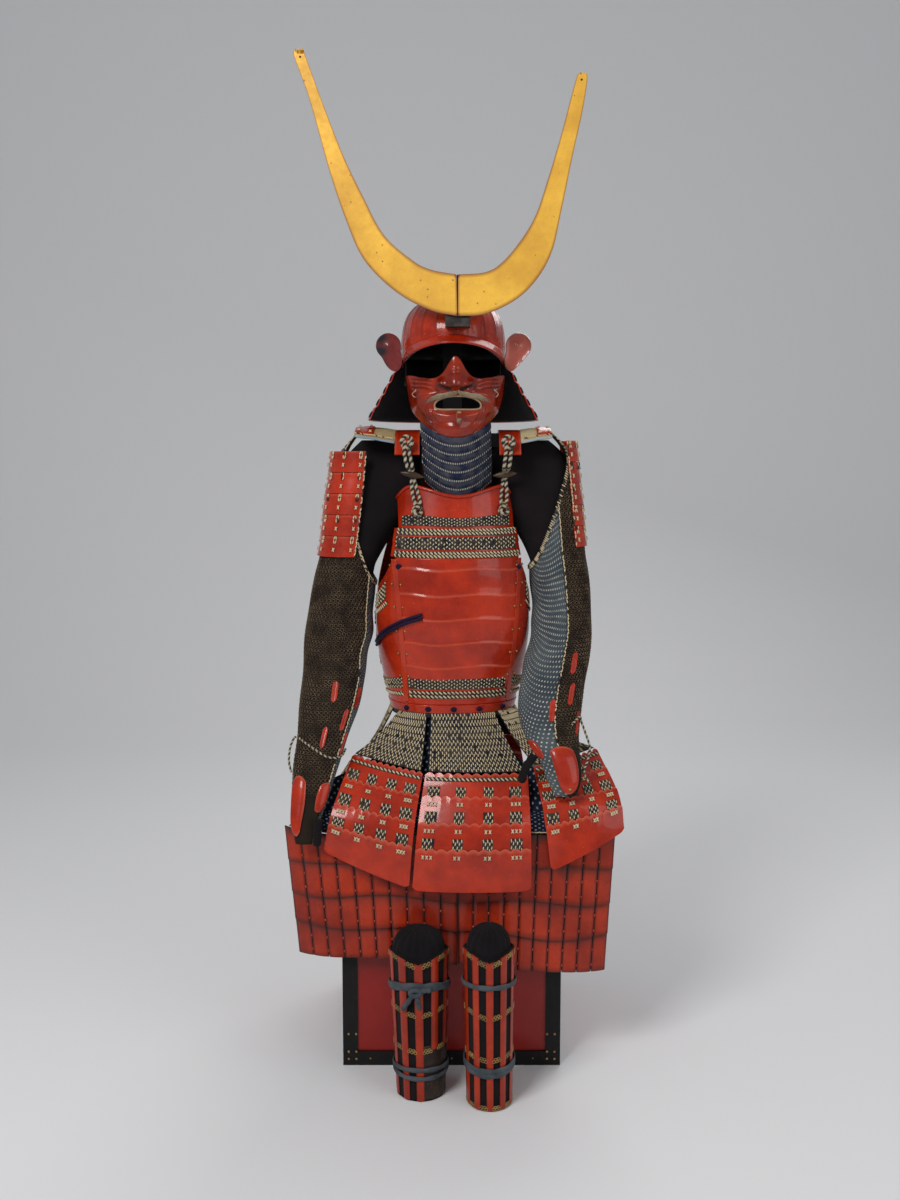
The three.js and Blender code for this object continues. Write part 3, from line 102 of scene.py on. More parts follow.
def lerp(start: float, end: float, share: float) -> float:
    """The value a share of the way from start to end."""
    return start + (end - start) * share


def clamp(value: float, low: float = 0.0, high: float = 1.0) -> float:
    """The value kept between low and high."""
    return max(low, min(high, value))


def power(value: float, exponent: float) -> float:
    """A power that keeps the value's sign."""
    return copysign(abs(value) ** exponent, value)


def bump(distance: float, width: float) -> float:
    """A smooth hump of height one, centred on no distance."""
    return exp(-((distance / width) ** 2))


def length_of(points: Sequence[Vector]) -> float:
    """The length of a line through points."""
    return sum((b - a).length for a, b in zip(points, points[1:]))


def loop_turns(count: int) -> list[float]:
    """The angles of a closed loop, from 0 to a full turn."""
    return [TAU * k / count for k in range(count + 1)]


def edge_of(u: float) -> float:
    """How far a share is from the nearer side."""
    return min(u, 1 - u)


def read(table: Table, column: int, where: float) -> float:
    """A smooth value of one column of a table whose first column is the key.

    Args:
        table: Rows of numbers with a rising first column.
        column: The column that is wanted.
        where: The key at which it is wanted.

    Returns:
        The value between the rows, held at the table's ends.
    """
    row = 0
    while row < len(table) - 2 and where > table[row + 1][0]:
        row += 1
    start, end = table[row], table[row + 1]
    before, after = table[max(row - 1, 0)], table[min(row + 2, len(table) - 1)]
    span = end[0] - start[0]
    t = clamp((where - start[0]) / span)
    slope_in = (end[column] - before[column]) / (end[0] - before[0]) * span
    slope_out = (after[column] - start[column]) / (after[0] - start[0]) * span
    bend = start[column] - end[column]
    square = t * t
    return (start[column] + t * slope_in - square * (2 * slope_in + slope_out + 3 * bend)
            + square * t * (slope_in + slope_out + 2 * bend))


def torso(angle: float, z: float, out: float = 0.0) -> Vector:
    """A point on the cuirass: angle 0 is the front and grows towards +X."""
    half = read(TORSO_SECTIONS, 1, z) + out
    deep = read(TORSO_SECTIONS, 2, z) + out
    x = half * power(sin(angle), TORSO_SQUARE)
    y = -deep * power(cos(angle), TORSO_SQUARE)
    c, s = cos(TORSO_YAW), sin(TORSO_YAW)
    return Vector((TORSO_X + x * c - y * s, x * s + y * c, z))


def angle_at(width: float, z: float) -> float:
    """The angle on the cuirass at a distance across from its middle."""
    share = clamp(width / read(TORSO_SECTIONS, 1, z), -1, 1)
    return asin(power(share, 1 / TORSO_SQUARE))


def hinge_width(z: float) -> float:
    """How far the cuirass's hinge is from the middle at a height."""
    return lerp(95, 117, (z - 665) / 266)


def front_of(x: float, z: float) -> float:
    """The y of the cuirass's front at a place across it."""
    low, high = -pi / 2, pi / 2
    for _ in range(30):
        middle = (low + high) / 2
        if torso(middle, z).x < x:
            low = middle
        else:
            high = middle
    return torso(low, z).y


def arch(y: float) -> float:
    """The height of the shoulder straps at a y."""
    return read(SHOULDER_ARCH, 1, y)


def sleeve_point(side: str, turn: float, z: float, out: float = 0.0) -> Vector:
    """A point on a sleeve: turn 0 faces the front and grows towards the arm's outer side."""
    table = SLEEVES[side]
    outward = -1 if side == "left" else 1
    half, deep = read(table, 3, z) + out, read(table, 4, z) + out
    return Vector((read(table, 1, z) + outward * half * sin(turn),
                   read(table, 2, z) - deep * cos(turn), z))


def curl_of(x: float) -> float:
    """How far the apron's ends curl back at a place across it."""
    start, radius = (190, 120) if x < 0 else (215, 180)
    past = max(0.0, abs(x) - start)
    return past * past / (2 * radius)


@dataclass
class Skin:
    """A surface in millimetres over u and v from 0 to 1.

    Attributes:
        at: The surface.
        core: A point on the inner side for each point of the surface.
    """

    at: Surface
    core: Core

    def across(self, u: float, v: float) -> Vector:
        """The unit direction of rising u."""
        step = 0.004
        low, high = max(0.0, u - step), min(1.0, u + step)
        return (self.at(high, v) - self.at(low, v)).normalized()

    def up(self, u: float, v: float) -> Vector:
        """The unit direction of rising v."""
        step = 0.004
        low, high = max(0.0, v - step), min(1.0, v + step)
        return (self.at(u, high) - self.at(u, low)).normalized()

    def normal(self, u: float, v: float) -> Vector:
        """The unit normal that points outwards."""
        spot = self.at(u, v)
        way = self.across(u, v).cross(self.up(u, v)).normalized()
        return way if way.dot(spot - self.core(spot)) >= 0 else -way

    def seat(self, u: float, v: float, turn: float = 0.0, lift: float = 0.0,
             size: Sequence[float] = (1, 1, 1)) -> Matrix:
        """A place on the surface for a stamped shape.

        Args:
            u: The place across.
            v: The place up.
            turn: Degrees that the shape turns in the surface.
            lift: How far the place stands off the surface.
            size: The shape's scale across, along and out of the surface.

        Returns:
            A matrix whose Y runs up the surface and Z out of it.
        """
        out = self.normal(u, v)
        along = self.up(u, v)
        side = along.cross(out).normalized()
        along = out.cross(side)
        spot = self.at(u, v) + out * lift
        base = Matrix((side, along, out)).transposed().to_4x4()
        return (Matrix.Translation(spot) @ base @ Matrix.Rotation(radians(turn), 4, "Z")
                @ Matrix.Diagonal((*size, 1)))

    def extent(self) -> tuple[float, float]:
        """The surface's width and height along its middle lines."""
        shares = [k / 12 for k in range(13)]
        return length_of([self.at(u, 0.5) for u in shares]), length_of([self.at(0.5, v) for v in shares])

    def width_at(self, v: float, span: tuple[float, float] = (0, 1)) -> float:
        """The surface's width at one height, or that of a part of it."""
        return length_of([self.at(lerp(*span, k / 8), v) for k in range(9)])


def fixed(x: float, y: float, z: float) -> Core:
    """One inner point for a whole surface."""
    return lambda point: Vector((x, y, z))


def upright(x: float, y: float) -> Core:
    """An inner point on an upright line, at each point's height."""
    return lambda point: Vector((x, y, point.z))


def beneath(point: Vector) -> Vector:
    """A point below a piece that faces up."""
    return point - Vector((0, 0, 60))


def behind(point: Vector) -> Vector:
    """A point behind a piece that faces the front."""
    return point + Vector((0, 100, 0))


torso_core = upright(TORSO_X, 0)


def sleeve_core(side: str) -> Core:
    """The middle of one sleeve at a point's height."""
    table = SLEEVES[side]
    return lambda p: Vector((read(table, 1, p.z), read(table, 2, p.z), p.z))


def smooth_route(points: Sequence[Sequence[float]], count: int) -> list[Vector]:
    """A smooth line through points, at even steps.

    Args:
        points: The points to pass, in millimetres.
        count: How many steps are wanted.

    Returns:
        The points of the line, one more than the steps.
    """
    knots = [Vector(p) for p in points]
    fine: list[Vector] = []
    for k in range(len(knots) - 1):
        before = knots[max(k - 1, 0)]
        after = knots[min(k + 2, len(knots) - 1)]
        start, end = knots[k], knots[k + 1]
        for step in range(16):
            t = step / 16
            fine.append(0.5 * (2 * start + (end - before) * t
                               + (2 * before - 5 * start + 4 * end - after) * t * t
                               + (3 * start - before - 3 * end + after) * t ** 3))
    fine.append(knots[-1])
    lengths = [0.0]
    for a, b in zip(fine, fine[1:]):
        lengths.append(lengths[-1] + (b - a).length)
    route, at = [], 0
    for k in range(count + 1):
        goal = lengths[-1] * k / count
        while at < len(lengths) - 2 and lengths[at + 1] < goal:
            at += 1
        span = lengths[at + 1] - lengths[at]
        route.append(fine[at].lerp(fine[at + 1], (goal - lengths[at]) / span if span else 0))
    return route


def stamp_mesh(name: str, shape: Shape, tone: float) -> bpy.types.Mesh:
    """A small shape that is repeated many times.

    Args:
        name: The mesh's name.
        shape: Makes the shape in an empty bmesh.
        tone: The tone that its points carry.

    Returns:
        The mesh, in millimetres.
    """
    bm = bmesh.new()
    bm.loops.layers.uv.new("UVMap")
    layer = bm.verts.layers.float.new("tone")
    shape(bm)
    for vert in bm.verts:
        vert[layer] = tone
    mesh = bpy.data.meshes.new(name)
    bm.to_mesh(mesh)
    bm.free()
    return mesh


def bead_shape(width: float, length: float, sides: int, rings: int) -> Shape:
    """A stretched ball that lies along Y, for one stitch of a braid."""
    def make(bm: bmesh.types.BMesh) -> None:
        bmesh.ops.create_uvsphere(bm, u_segments=sides, v_segments=rings, radius=0.5)
        bmesh.ops.rotate(bm, verts=bm.verts, matrix=Matrix.Rotation(pi / 2, 3, "X"))
        bmesh.ops.scale(bm, verts=bm.verts, vec=(width, length, width))
    return make


def ring_shape(radius: float, wire: float, around: int, sides: int) -> Shape:
    """A small ring of wire in the plane of X and Y."""
    def make(bm: bmesh.types.BMesh) -> None:
        made = bmesh.ops.create_circle(bm, segments=sides, radius=wire)
        bmesh.ops.rotate(bm, verts=made["verts"], matrix=Matrix.Rotation(pi / 2, 3, "X"))
        bmesh.ops.translate(bm, verts=made["verts"], vec=(radius, 0, 0))
        bmesh.ops.spin(bm, geom=bm.verts[:] + bm.edges[:], angle=TAU, steps=around,
                       axis=(0, 0, 1), cent=(0, 0, 0), use_merge=True)
        bmesh.ops.remove_doubles(bm, verts=bm.verts, dist=wire * 0.05)
        bmesh.ops.recalc_face_normals(bm, faces=bm.faces)
    return make


def dome_shape(radius: float, high: float) -> Shape:
    """A rivet's head that stands on the plane of X and Y."""
    def make(bm: bmesh.types.BMesh) -> None:
        bmesh.ops.create_uvsphere(bm, u_segments=7, v_segments=4, radius=1)
        bmesh.ops.scale(bm, verts=bm.verts, vec=(radius, radius, high))
    return make


class Stamps:
    """The small shapes that are repeated, each made once."""

    def __init__(self) -> None:
        """Makes every stamp."""
        self.cream = stamp_mesh("stitch_cream", bead_shape(2.5, 7.2, 5, 3), 0.0)
        self.navy = stamp_mesh("stitch_navy", bead_shape(2.5, 7.2, 5, 3), 1.0)
        self.dot = stamp_mesh("dot", bead_shape(1.5, 3.0, 5, 3), 0.0)
        self.cell = stamp_mesh("close_stitch", bead_shape(4.2, 7.5, 5, 4), 1.0)
        self.rivet = stamp_mesh("rivet", dome_shape(2.3, 1.7), 0.5)
        self.ring = stamp_mesh("ring", ring_shape(3.4, 0.85, 6, 3), 0.5)
        self.small_ring = stamp_mesh("small_ring", ring_shape(2.6, 0.8, 8, 4), 0.5)


class Piece:
    """One mesh piece in the making, in millimetres until it is finished."""

    def __init__(self, name: str) -> None:
        """Starts an empty piece."""
        self.name = name
        self.bm = bmesh.new()
        self.uv = self.bm.loops.layers.uv.new("UVMap")
        self.tone = self.bm.verts.layers.float.new("tone")

    def patch(self, skin: Skin, across: int, along: int, tone: float | Surface = 0.0,
              wrap: bool = False, caps: bool = False) -> "Piece":
        """Lays a grid on a surface.

        Args:
            skin: The surface.
            across: Cells across it.
            along: Cells up it.
            tone: The tone of its points, or a function of u and v that gives it.
            wrap: Whether its two sides meet.
            caps: Whether open ends are filled.

        Returns:
            This piece.
        """
        made = bmesh.ops.create_grid(self.bm, x_segments=across, y_segments=along, size=0.5)["verts"]
        shares = {vert: (clamp(vert.co.x + 0.5), clamp(vert.co.y + 0.5)) for vert in made}
        high = skin.extent()[1]
        faces = {face for vert in made for face in vert.link_faces}
        for vert, (u, v) in shares.items():
            vert.co = skin.at(u % 1 if wrap else u, v)
            vert[self.tone] = tone(u, v) if callable(tone) else tone
        widths = {v: skin.width_at(v) for v in {spot[1] for spot in shares.values()}}
        for face in faces:
            for loop in face.loops:
                u, v = shares[loop.vert]
                loop[self.uv].uv = ((u - 0.5) * widths[v] * MM, v * high * MM)
        if wrap:
            bmesh.ops.remove_doubles(self.bm, verts=made, dist=0.002)
            faces = {face for face in faces if face.is_valid}
        if caps:
            ends = {edge for face in faces for edge in face.edges if edge.is_boundary}
            faces |= set(bmesh.ops.holes_fill(self.bm, edges=list(ends), sides=0)["faces"])
        lean = 0.0
        for face in faces:
            face.normal_update()
            middle = face.calc_center_median()
            lean += face.normal.dot(middle - skin.core(middle)) * face.calc_area()
        if lean < 0:
            bmesh.ops.reverse_faces(self.bm, faces=list(faces))
        return self

    def stamp(self, mesh: bpy.types.Mesh, places: Iterable[Matrix]) -> "Piece":
        """Repeats a small shape at each place."""
        for place in places:
            copy = mesh.copy()
            copy.transform(place)
            self.bm.from_mesh(copy)
            bpy.data.meshes.remove(copy)
        return self

    def cord(self, route: Sequence[Vector], radius: float, sides: int = 8, twist: float = 0.0,
             tones: tuple[float, float] = (0.0, 0.0), taper: Callable[[float], float] | None = None) -> "Piece":
        """Lays a round or two-stranded cord along a line.

        Args:
            route: The line's points.
            radius: The cord's radius.
            sides: Sides of its section.
            twist: Length in which two strands turn once, or 0 for a plain cord.
            tones: The tones of the two strands.
            taper: The radius's share of full size for each share of the length.

        Returns:
            This piece.
        """
        frames = []
        side = Vector((0.31, 0.27, 0.91))
        for k, spot in enumerate(route):
            ahead = (route[min(k + 1, len(route) - 1)] - route[max(k - 1, 0)]).normalized()
            side = (side - ahead * side.dot(ahead)).normalized()
            frames.append((spot, side.copy(), ahead.cross(side)))
        length = length_of(route)

        def strand(u: float, v: float) -> float:
            return sin(TAU * (u - v * length / twist)) if twist else 0.0

        def at(u: float, v: float) -> Vector:
            spot, first, second = frames[round(v * (len(route) - 1))]
            angle = u * TAU
            grow = (0.86 + 0.2 * abs(strand(u, v))) if twist else 1.0
            size = radius * grow * (taper(v) if taper else 1.0)
            return spot + (first * cos(angle) + second * sin(angle)) * size

        def core(point: Vector) -> Vector:
            return min(route, key=lambda spot: (spot - point).length_squared)

        return self.patch(Skin(at, core), sides, len(route) - 1,
                          lambda u, v: tones[0] if strand(u, v) >= 0 else tones[1], wrap=True, caps=True)

    def finish(self, material: bpy.types.Material, replaces: Sequence[str] = (), slot: str = "",
               wall: float = 0.0, bevel: float = 0.0) -> bpy.types.Object:
        """Makes the piece an object of the part.

        Args:
            material: Its finish.
            replaces: The CAD nodes that it stands for.
            slot: Not used.
            wall: The thickness that its open sheets get, inwards, in millimetres.
            bevel: The width of its rounded edges, in millimetres.

        Returns:
            The object, riding on the body.
        """
        bmesh.ops.scale(self.bm, vec=(MM, MM, MM), verts=self.bm.verts)
        mesh = bpy.data.meshes.new(self.name)
        self.bm.to_mesh(mesh)
        self.bm.free()
        mesh.materials.append(material)
        mesh.shade_smooth()
        piece = bpy.data.objects.new(self.name, mesh)
        bpy.context.scene.collection.objects.link(piece)
        if wall:
            solid = piece.modifiers.new("Wall", "SOLIDIFY")
            solid.thickness = wall * MM
            solid.offset = -1
        if bevel:
            edge = piece.modifiers.new("Edge", "BEVEL")
            edge.width = bevel * MM
            edge.segments = 2
            edge.limit_method = "ANGLE"
            edge.angle_limit = radians(50)
            edge.harden_normals = True
        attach(piece, BODY)
        if replaces:
            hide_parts(*replaces)
        LOG.info("%s: %d points", self.name, len(mesh.vertices))
        return piece


Rgb = tuple[float, float, float]


class Tree:
    """A short way to fill one node tree."""

    def __init__(self, tree: bpy.types.NodeTree) -> None:
        """Keeps the tree that is filled."""
        self.tree = tree

    def add(self, kind: str, inputs: dict | None = None, **settings: object) -> bpy.types.Node:
        """Adds one node.

        Args:
            kind: The node's type.
            inputs: Values or sockets for its inputs, by name or number.
            settings: Its own settings.

        Returns:
            The node.
        """
        made = self.tree.nodes.new(kind)
        for key, value in settings.items():
            setattr(made, key, value)
        for key, value in (inputs or {}).items():
            socket = made.inputs[key]
            if isinstance(value, bpy.types.NodeSocket):
                self.tree.links.new(value, socket)
            else:
                socket.default_value = value
        return made

    def math(self, operation: str, *values: object) -> bpy.types.NodeSocket:
        """The result of one sum."""
        return self.add("ShaderNodeMath", dict(enumerate(values)), operation=operation).outputs[0]

    def between(self, value: object, low: float, high: float, start: float = 0.0,
                end: float = 1.0) -> bpy.types.NodeSocket:
        """The value's place between low and high, as a smooth number from start to end."""
        return self.add("ShaderNodeMapRange", {"Value": value, "From Min": low, "From Max": high,
                                               "To Min": start, "To Max": end},
                        interpolation_type="SMOOTHSTEP").outputs["Result"]

    def mix(self, share: object, first: object, second: object, kind: str = "MIX") -> bpy.types.NodeSocket:
        """One colour over another by a share."""
        tidy = [(*value, 1.0) if isinstance(value, tuple) and len(value) == 3 else value
                for value in (first, second)]
        node = self.add("ShaderNodeMix", {0: share, 6: tidy[0], 7: tidy[1]}, data_type="RGBA", blend_type=kind)
        return node.outputs[2]

    def group(self, group: bpy.types.NodeTree, **inputs: object) -> bpy.types.NodeSocket:
        """The first output of a shared group with its own values."""
        named = {key.replace("_", " "): value for key, value in inputs.items()}
        return self.add("ShaderNodeGroup", named, node_tree=group).outputs[0]


class SharedEffects:
    """The shader node groups that several finishes use."""

    def __init__(self) -> None:
        """Builds each group once."""
        self.mottle = self._mottle()
        self.specks = self._specks()
        self.weave = self._weave()
        self.dots = self._dots()
        self.fibres = self._fibres()

    @staticmethod
    def _start(name: str, values: dict[str, float]) -> tuple[Tree, bpy.types.Node, bpy.types.Node]:
        """Starts a group with a vector input, some numbers and one output."""
        group = bpy.data.node_groups.new(name, "ShaderNodeTree")
        group.interface.new_socket("Vector", in_out="INPUT", socket_type="NodeSocketVector")
        for label, value in values.items():
            socket = group.interface.new_socket(label, in_out="INPUT", socket_type="NodeSocketFloat")
            socket.default_value = value
        group.interface.new_socket("Mask", in_out="OUTPUT", socket_type="NodeSocketFloat")
        return Tree(group), group.nodes.new("NodeGroupInput"), group.nodes.new("NodeGroupOutput")

    @staticmethod
    def _end(tree: Tree, mask: bpy.types.NodeSocket, sink: bpy.types.Node) -> bpy.types.NodeTree:
        """Sends the group's mask to its output."""
        tree.tree.links.new(mask, sink.inputs[0])
        return tree.tree

    def _mottle(self) -> bpy.types.NodeTree:
        """Soft uneven patches."""
        tree, source, sink = self._start("Mottle", {"Scale": 10, "Contrast": 0.2})
        noise = tree.add("ShaderNodeTexNoise", {"Vector": source.outputs["Vector"], "Scale": source.outputs["Scale"],
                                                "Detail": 5, "Roughness": 0.62})
        low = tree.math("SUBTRACT", 0.5, source.outputs["Contrast"])
        high = tree.math("ADD", 0.5, source.outputs["Contrast"])
        return self._end(tree, tree.between(noise.outputs["Fac"], low, high), sink)

    def _specks(self) -> bpy.types.NodeTree:
        """Small scattered spots, of which a share is kept."""
        tree, source, sink = self._start("Specks", {"Scale": 120, "Size": 0.2, "Kept": 0.3})
        cells = tree.add("ShaderNodeTexVoronoi", {"Vector": source.outputs["Vector"], "Scale": source.outputs["Scale"]})
        near = tree.math("LESS_THAN", cells.outputs["Distance"], source.outputs["Size"])
        pick = tree.add("ShaderNodeSeparateColor", {0: cells.outputs["Color"]}).outputs[0]
        kept = tree.math("LESS_THAN", pick, source.outputs["Kept"])
        return self._end(tree, tree.math("MULTIPLY", near, kept), sink)

    def _weave(self) -> bpy.types.NodeTree:
        """Crossing threads, so many in a metre."""
        tree, source, sink = self._start("Weave", {"Threads": 900})
        spot = tree.add("ShaderNodeVectorMath", {0: source.outputs["Vector"]}, operation="SCALE")
        tree.tree.links.new(source.outputs["Threads"], spot.inputs["Scale"])
        parts = tree.add("ShaderNodeSeparateXYZ", {0: spot.outputs[0]})
        waves = [tree.math("SINE", tree.math("MULTIPLY", parts.outputs[k], TAU)) for k in (0, 1)]
        return self._end(tree, tree.between(tree.math("MULTIPLY", *waves), -1, 1), sink)

    def _dots(self) -> bpy.types.NodeTree:
        """Stitches as dots in slanting rows, so many in a metre."""
        tree, source, sink = self._start("Dots", {"Rows": 110, "Size": 0.27})
        spot = tree.add("ShaderNodeVectorMath", {0: source.outputs["Vector"]}, operation="SCALE")
        tree.tree.links.new(source.outputs["Rows"], spot.inputs["Scale"])
        parts = tree.add("ShaderNodeSeparateXYZ", {0: spot.outputs[0]})
        x, y = parts.outputs[0], parts.outputs[1]
        away = []
        for way in ("ADD", "SUBTRACT"):
            share = tree.math("FRACT", tree.math(way, x, y))
            away.append(tree.math("POWER", tree.math("SUBTRACT", share, 0.5), 2))
        far = tree.math("SQRT", tree.math("ADD", *away))
        near = tree.math("SUBTRACT", source.outputs["Size"], far)
        return self._end(tree, tree.between(near, -0.06, 0.06), sink)

    def _fibres(self) -> bpy.types.NodeTree:
        """Fine grain drawn out along one way of the vector."""
        tree, source, sink = self._start("Fibres", {"Scale": 300, "Stretch": 0.1})
        parts = tree.add("ShaderNodeSeparateXYZ", {0: source.outputs["Vector"]})
        long_way = tree.math("MULTIPLY", parts.outputs[1], source.outputs["Stretch"])
        drawn = tree.add("ShaderNodeCombineXYZ", {0: parts.outputs[0], 1: long_way, 2: parts.outputs[2]})
        noise = tree.add("ShaderNodeTexNoise", {"Vector": drawn.outputs[0], "Scale": source.outputs["Scale"],
                                                "Detail": 3, "Roughness": 0.6})
        return self._end(tree, noise.outputs["Fac"], sink)


class Coat:
    """Starts a material with one Principled surface and shared coordinates."""

    def __init__(self, name: str, effects: "SharedEffects | None" = None, **constants: float) -> None:
        """Makes the material.

        Args:
            name: Its name.
            effects: The shared groups that it uses.
            constants: Values that are the same all over, by socket name with underscores.
        """
        self.effects = effects
        self.material = bpy.data.materials.new(name)
        self.material.use_nodes = True
        self.tree = Tree(self.material.node_tree)
        self.surface = next(n for n in self.material.node_tree.nodes if n.type == "BSDF_PRINCIPLED")
        for key, value in constants.items():
            self.surface.inputs[key.replace("_", " ")].default_value = value
        coords = self.tree.add("ShaderNodeTexCoord")
        self.place = coords.outputs["Object"]
        self.uv = coords.outputs["UV"]

    def tone(self) -> bpy.types.NodeSocket:
        """The tone that the mesh's points carry."""
        return self.tree.add("ShaderNodeAttribute", None, attribute_name="tone").outputs["Fac"]

    def mottle(self, scale: float, contrast: float) -> bpy.types.NodeSocket:
        """The shared soft patches at one scale."""
        return self.tree.group(self.effects.mottle, Vector=self.place, Scale=scale, Contrast=contrast)

    def put(self, socket: str, value: bpy.types.NodeSocket) -> None:
        """Feeds one input of the surface."""
        self.tree.tree.links.new(value, self.surface.inputs[socket])

    def relief(self, height: bpy.types.NodeSocket, deep: float, strength: float = 0.6) -> None:
        """Gives the surface a fine relief of a depth in millimetres."""
        self.put("Normal", self.tree.add("ShaderNodeBump", {"Height": height, "Strength": strength,
                                                            "Distance": deep * MM}).outputs[0])


@dataclass(frozen=True)
class Lacquer:
    """Red or black lacquer, clear coated, mottled and worn; the tone mixes in a mark colour for rubbed lacquer and for
    painted highlights, shadows and shade.
    """

    name: str
    deep: Rgb
    bright: Rgb
    # The mark colour: rubbed lacquer, and also the colour of the painted highlights, shadows and shade that the tone
    # lays on.
    marks: Rgb
    rough: tuple[float, float] = (0.22, 0.4)
    coat: float = 0.6
    patches: float = 14.0
    wear: float = 0.12

    def make(self, effects: SharedEffects) -> bpy.types.Material:
        """Builds the material."""
        coat = Coat(self.name, effects, Coat_Weight=self.coat, Coat_Roughness=0.07, Specular_IOR_Level=0.22)
        tree = coat.tree
        patches = coat.mottle(self.patches, 0.22)
        colour = tree.mix(patches, self.deep, self.bright)
        grime = coat.mottle(95, 0.3)
        colour = tree.mix(tree.math("MULTIPLY", grime, 0.22), colour, self.deep)
        # The tone lays the mark colour on as painted highlights, painted shadows and painted shade, as well as rubbed
        # lacquer.
        colour = tree.mix(coat.tone(), colour, self.marks)
        flecks = tree.group(effects.specks, Vector=coat.place, Scale=170, Size=0.2, Kept=self.wear)
        colour = tree.mix(tree.math("MULTIPLY", flecks, 0.6), colour, self.marks)
        coat.put("Base Color", colour)
        coat.put("Roughness", tree.between(grime, 0, 1, *self.rough))
        coat.relief(coat.mottle(45, 0.5), 0.25, 0.35)
        return coat.material


@dataclass(frozen=True)
class Braid:
    """Silk or cotton braid whose tone runs from its pale to its dark thread."""

    name: str
    pale: Rgb
    dark: Rgb
    rough: float = 0.85

    def make(self, effects: SharedEffects) -> bpy.types.Material:
        """Builds the material."""
        coat = Coat(self.name, effects, Sheen_Weight=0.03, Specular_IOR_Level=0.15)
        tree = coat.tree
        colour = tree.mix(coat.tone(), self.pale, self.dark)
        soil = coat.mottle(60, 0.25)
        shade = tuple(0.55 * (a + b) / 2 for a, b in zip(self.pale, self.dark))
        colour = tree.mix(tree.math("MULTIPLY", soil, 0.35), colour, shade)
        coat.put("Base Color", colour)
        fibres = tree.group(effects.fibres, Vector=coat.place, Scale=900, Stretch=1.0)
        coat.put("Roughness", tree.between(fibres, 0, 1, self.rough - 0.1, self.rough + 0.1))
        coat.relief(fibres, 0.3)
        return coat.material


@dataclass(frozen=True)
class Cloth:
    """Woven cloth, plain or sewn over with pale stitches."""

    name: str
    ground: Rgb
    faded: Rgb
    threads: float = 900.0
    stitch: Rgb | None = None
    rows: float = 110.0
    sheen: float = 0.03

    def make(self, effects: SharedEffects) -> bpy.types.Material:
        """Builds the material."""
        coat = Coat(self.name, effects, Sheen_Weight=self.sheen, Specular_IOR_Level=0.12)
        tree = coat.tree
        fade = coat.mottle(16, 0.25)
        colour = tree.mix(fade, self.ground, self.faded)
        height = tree.group(effects.weave, Vector=coat.uv, Threads=self.threads)
        if self.stitch:
            dots = tree.group(effects.dots, Vector=coat.uv, Rows=self.rows, Size=0.19)
            lost = coat.mottle(55, 0.12)
            dots = tree.math("MULTIPLY", dots, tree.between(lost, 0, 1, 0.45, 1))
            colour = tree.mix(dots, colour, self.stitch)
            height = tree.math("ADD", height, tree.math("MULTIPLY", dots, 1.6))
        colour = tree.mix(coat.tone(), colour, self.faded)
        coat.put("Base Color", colour)
        coat.put("Roughness", tree.between(fade, 0, 1, 0.78, 0.95))
        coat.relief(height, 0.35)
        return coat.material


@dataclass(frozen=True)
class Metal:
    """Worn metal with rust or dirt in patches."""

    name: str
    clean: Rgb
    dirty: Rgb
    metallic: float = 0.8
    rough: tuple[float, float] = (0.35, 0.65)

    def make(self, effects: SharedEffects) -> bpy.types.Material:
        """Builds the material."""
        coat = Coat(self.name, effects)
        tree = coat.tree
        dirt = coat.mottle(38, 0.2)
        coat.put("Base Color", tree.mix(dirt, self.clean, self.dirty))
        coat.put("Metallic", tree.between(dirt, 0, 1, self.metallic, self.metallic * 0.4))
        coat.put("Roughness", tree.between(dirt, 0, 1, *self.rough))
        coat.relief(coat.mottle(220, 0.4), 0.2)
        return coat.material


@dataclass(frozen=True)
class GoldLeaf:
    """Gold leaf over lacquer: crinkled, with ochre patches and dark specks."""

    name: str = "gold_leaf_finish"
    bright: Rgb = (0.98, 0.56, 0.06)
    ochre: Rgb = (0.48, 0.21, 0.012)
    under: Rgb = (0.20, 0.05, 0.02)

    def make(self, effects: SharedEffects) -> bpy.types.Material:
        """Builds the material."""
        coat = Coat(self.name, effects, Coat_Weight=0.15, Coat_Roughness=0.3)
        tree = coat.tree
        patches = coat.mottle(11, 0.2)
        fine = coat.mottle(120, 0.2)
        colour = tree.mix(tree.math("MULTIPLY", patches, 0.55), self.bright, self.ochre)
        colour = tree.mix(tree.math("MULTIPLY", fine, 0.28), colour, self.ochre)
        specks = tree.group(effects.specks, Vector=coat.place, Scale=90, Size=0.14, Kept=0.25)
        colour = tree.mix(tree.math("MULTIPLY", specks, 0.8), colour, self.under)
        colour = tree.mix(coat.tone(), colour, self.under)
        coat.put("Base Color", colour)
        coat.put("Metallic", tree.between(patches, 0, 1, 0.22, 0.12))
        coat.put("Roughness", tree.between(fine, 0, 1, 0.36, 0.58))
        crinkle = coat.mottle(70, 0.5)
        coat.relief(crinkle, 0.5, 0.5)
        return coat.material


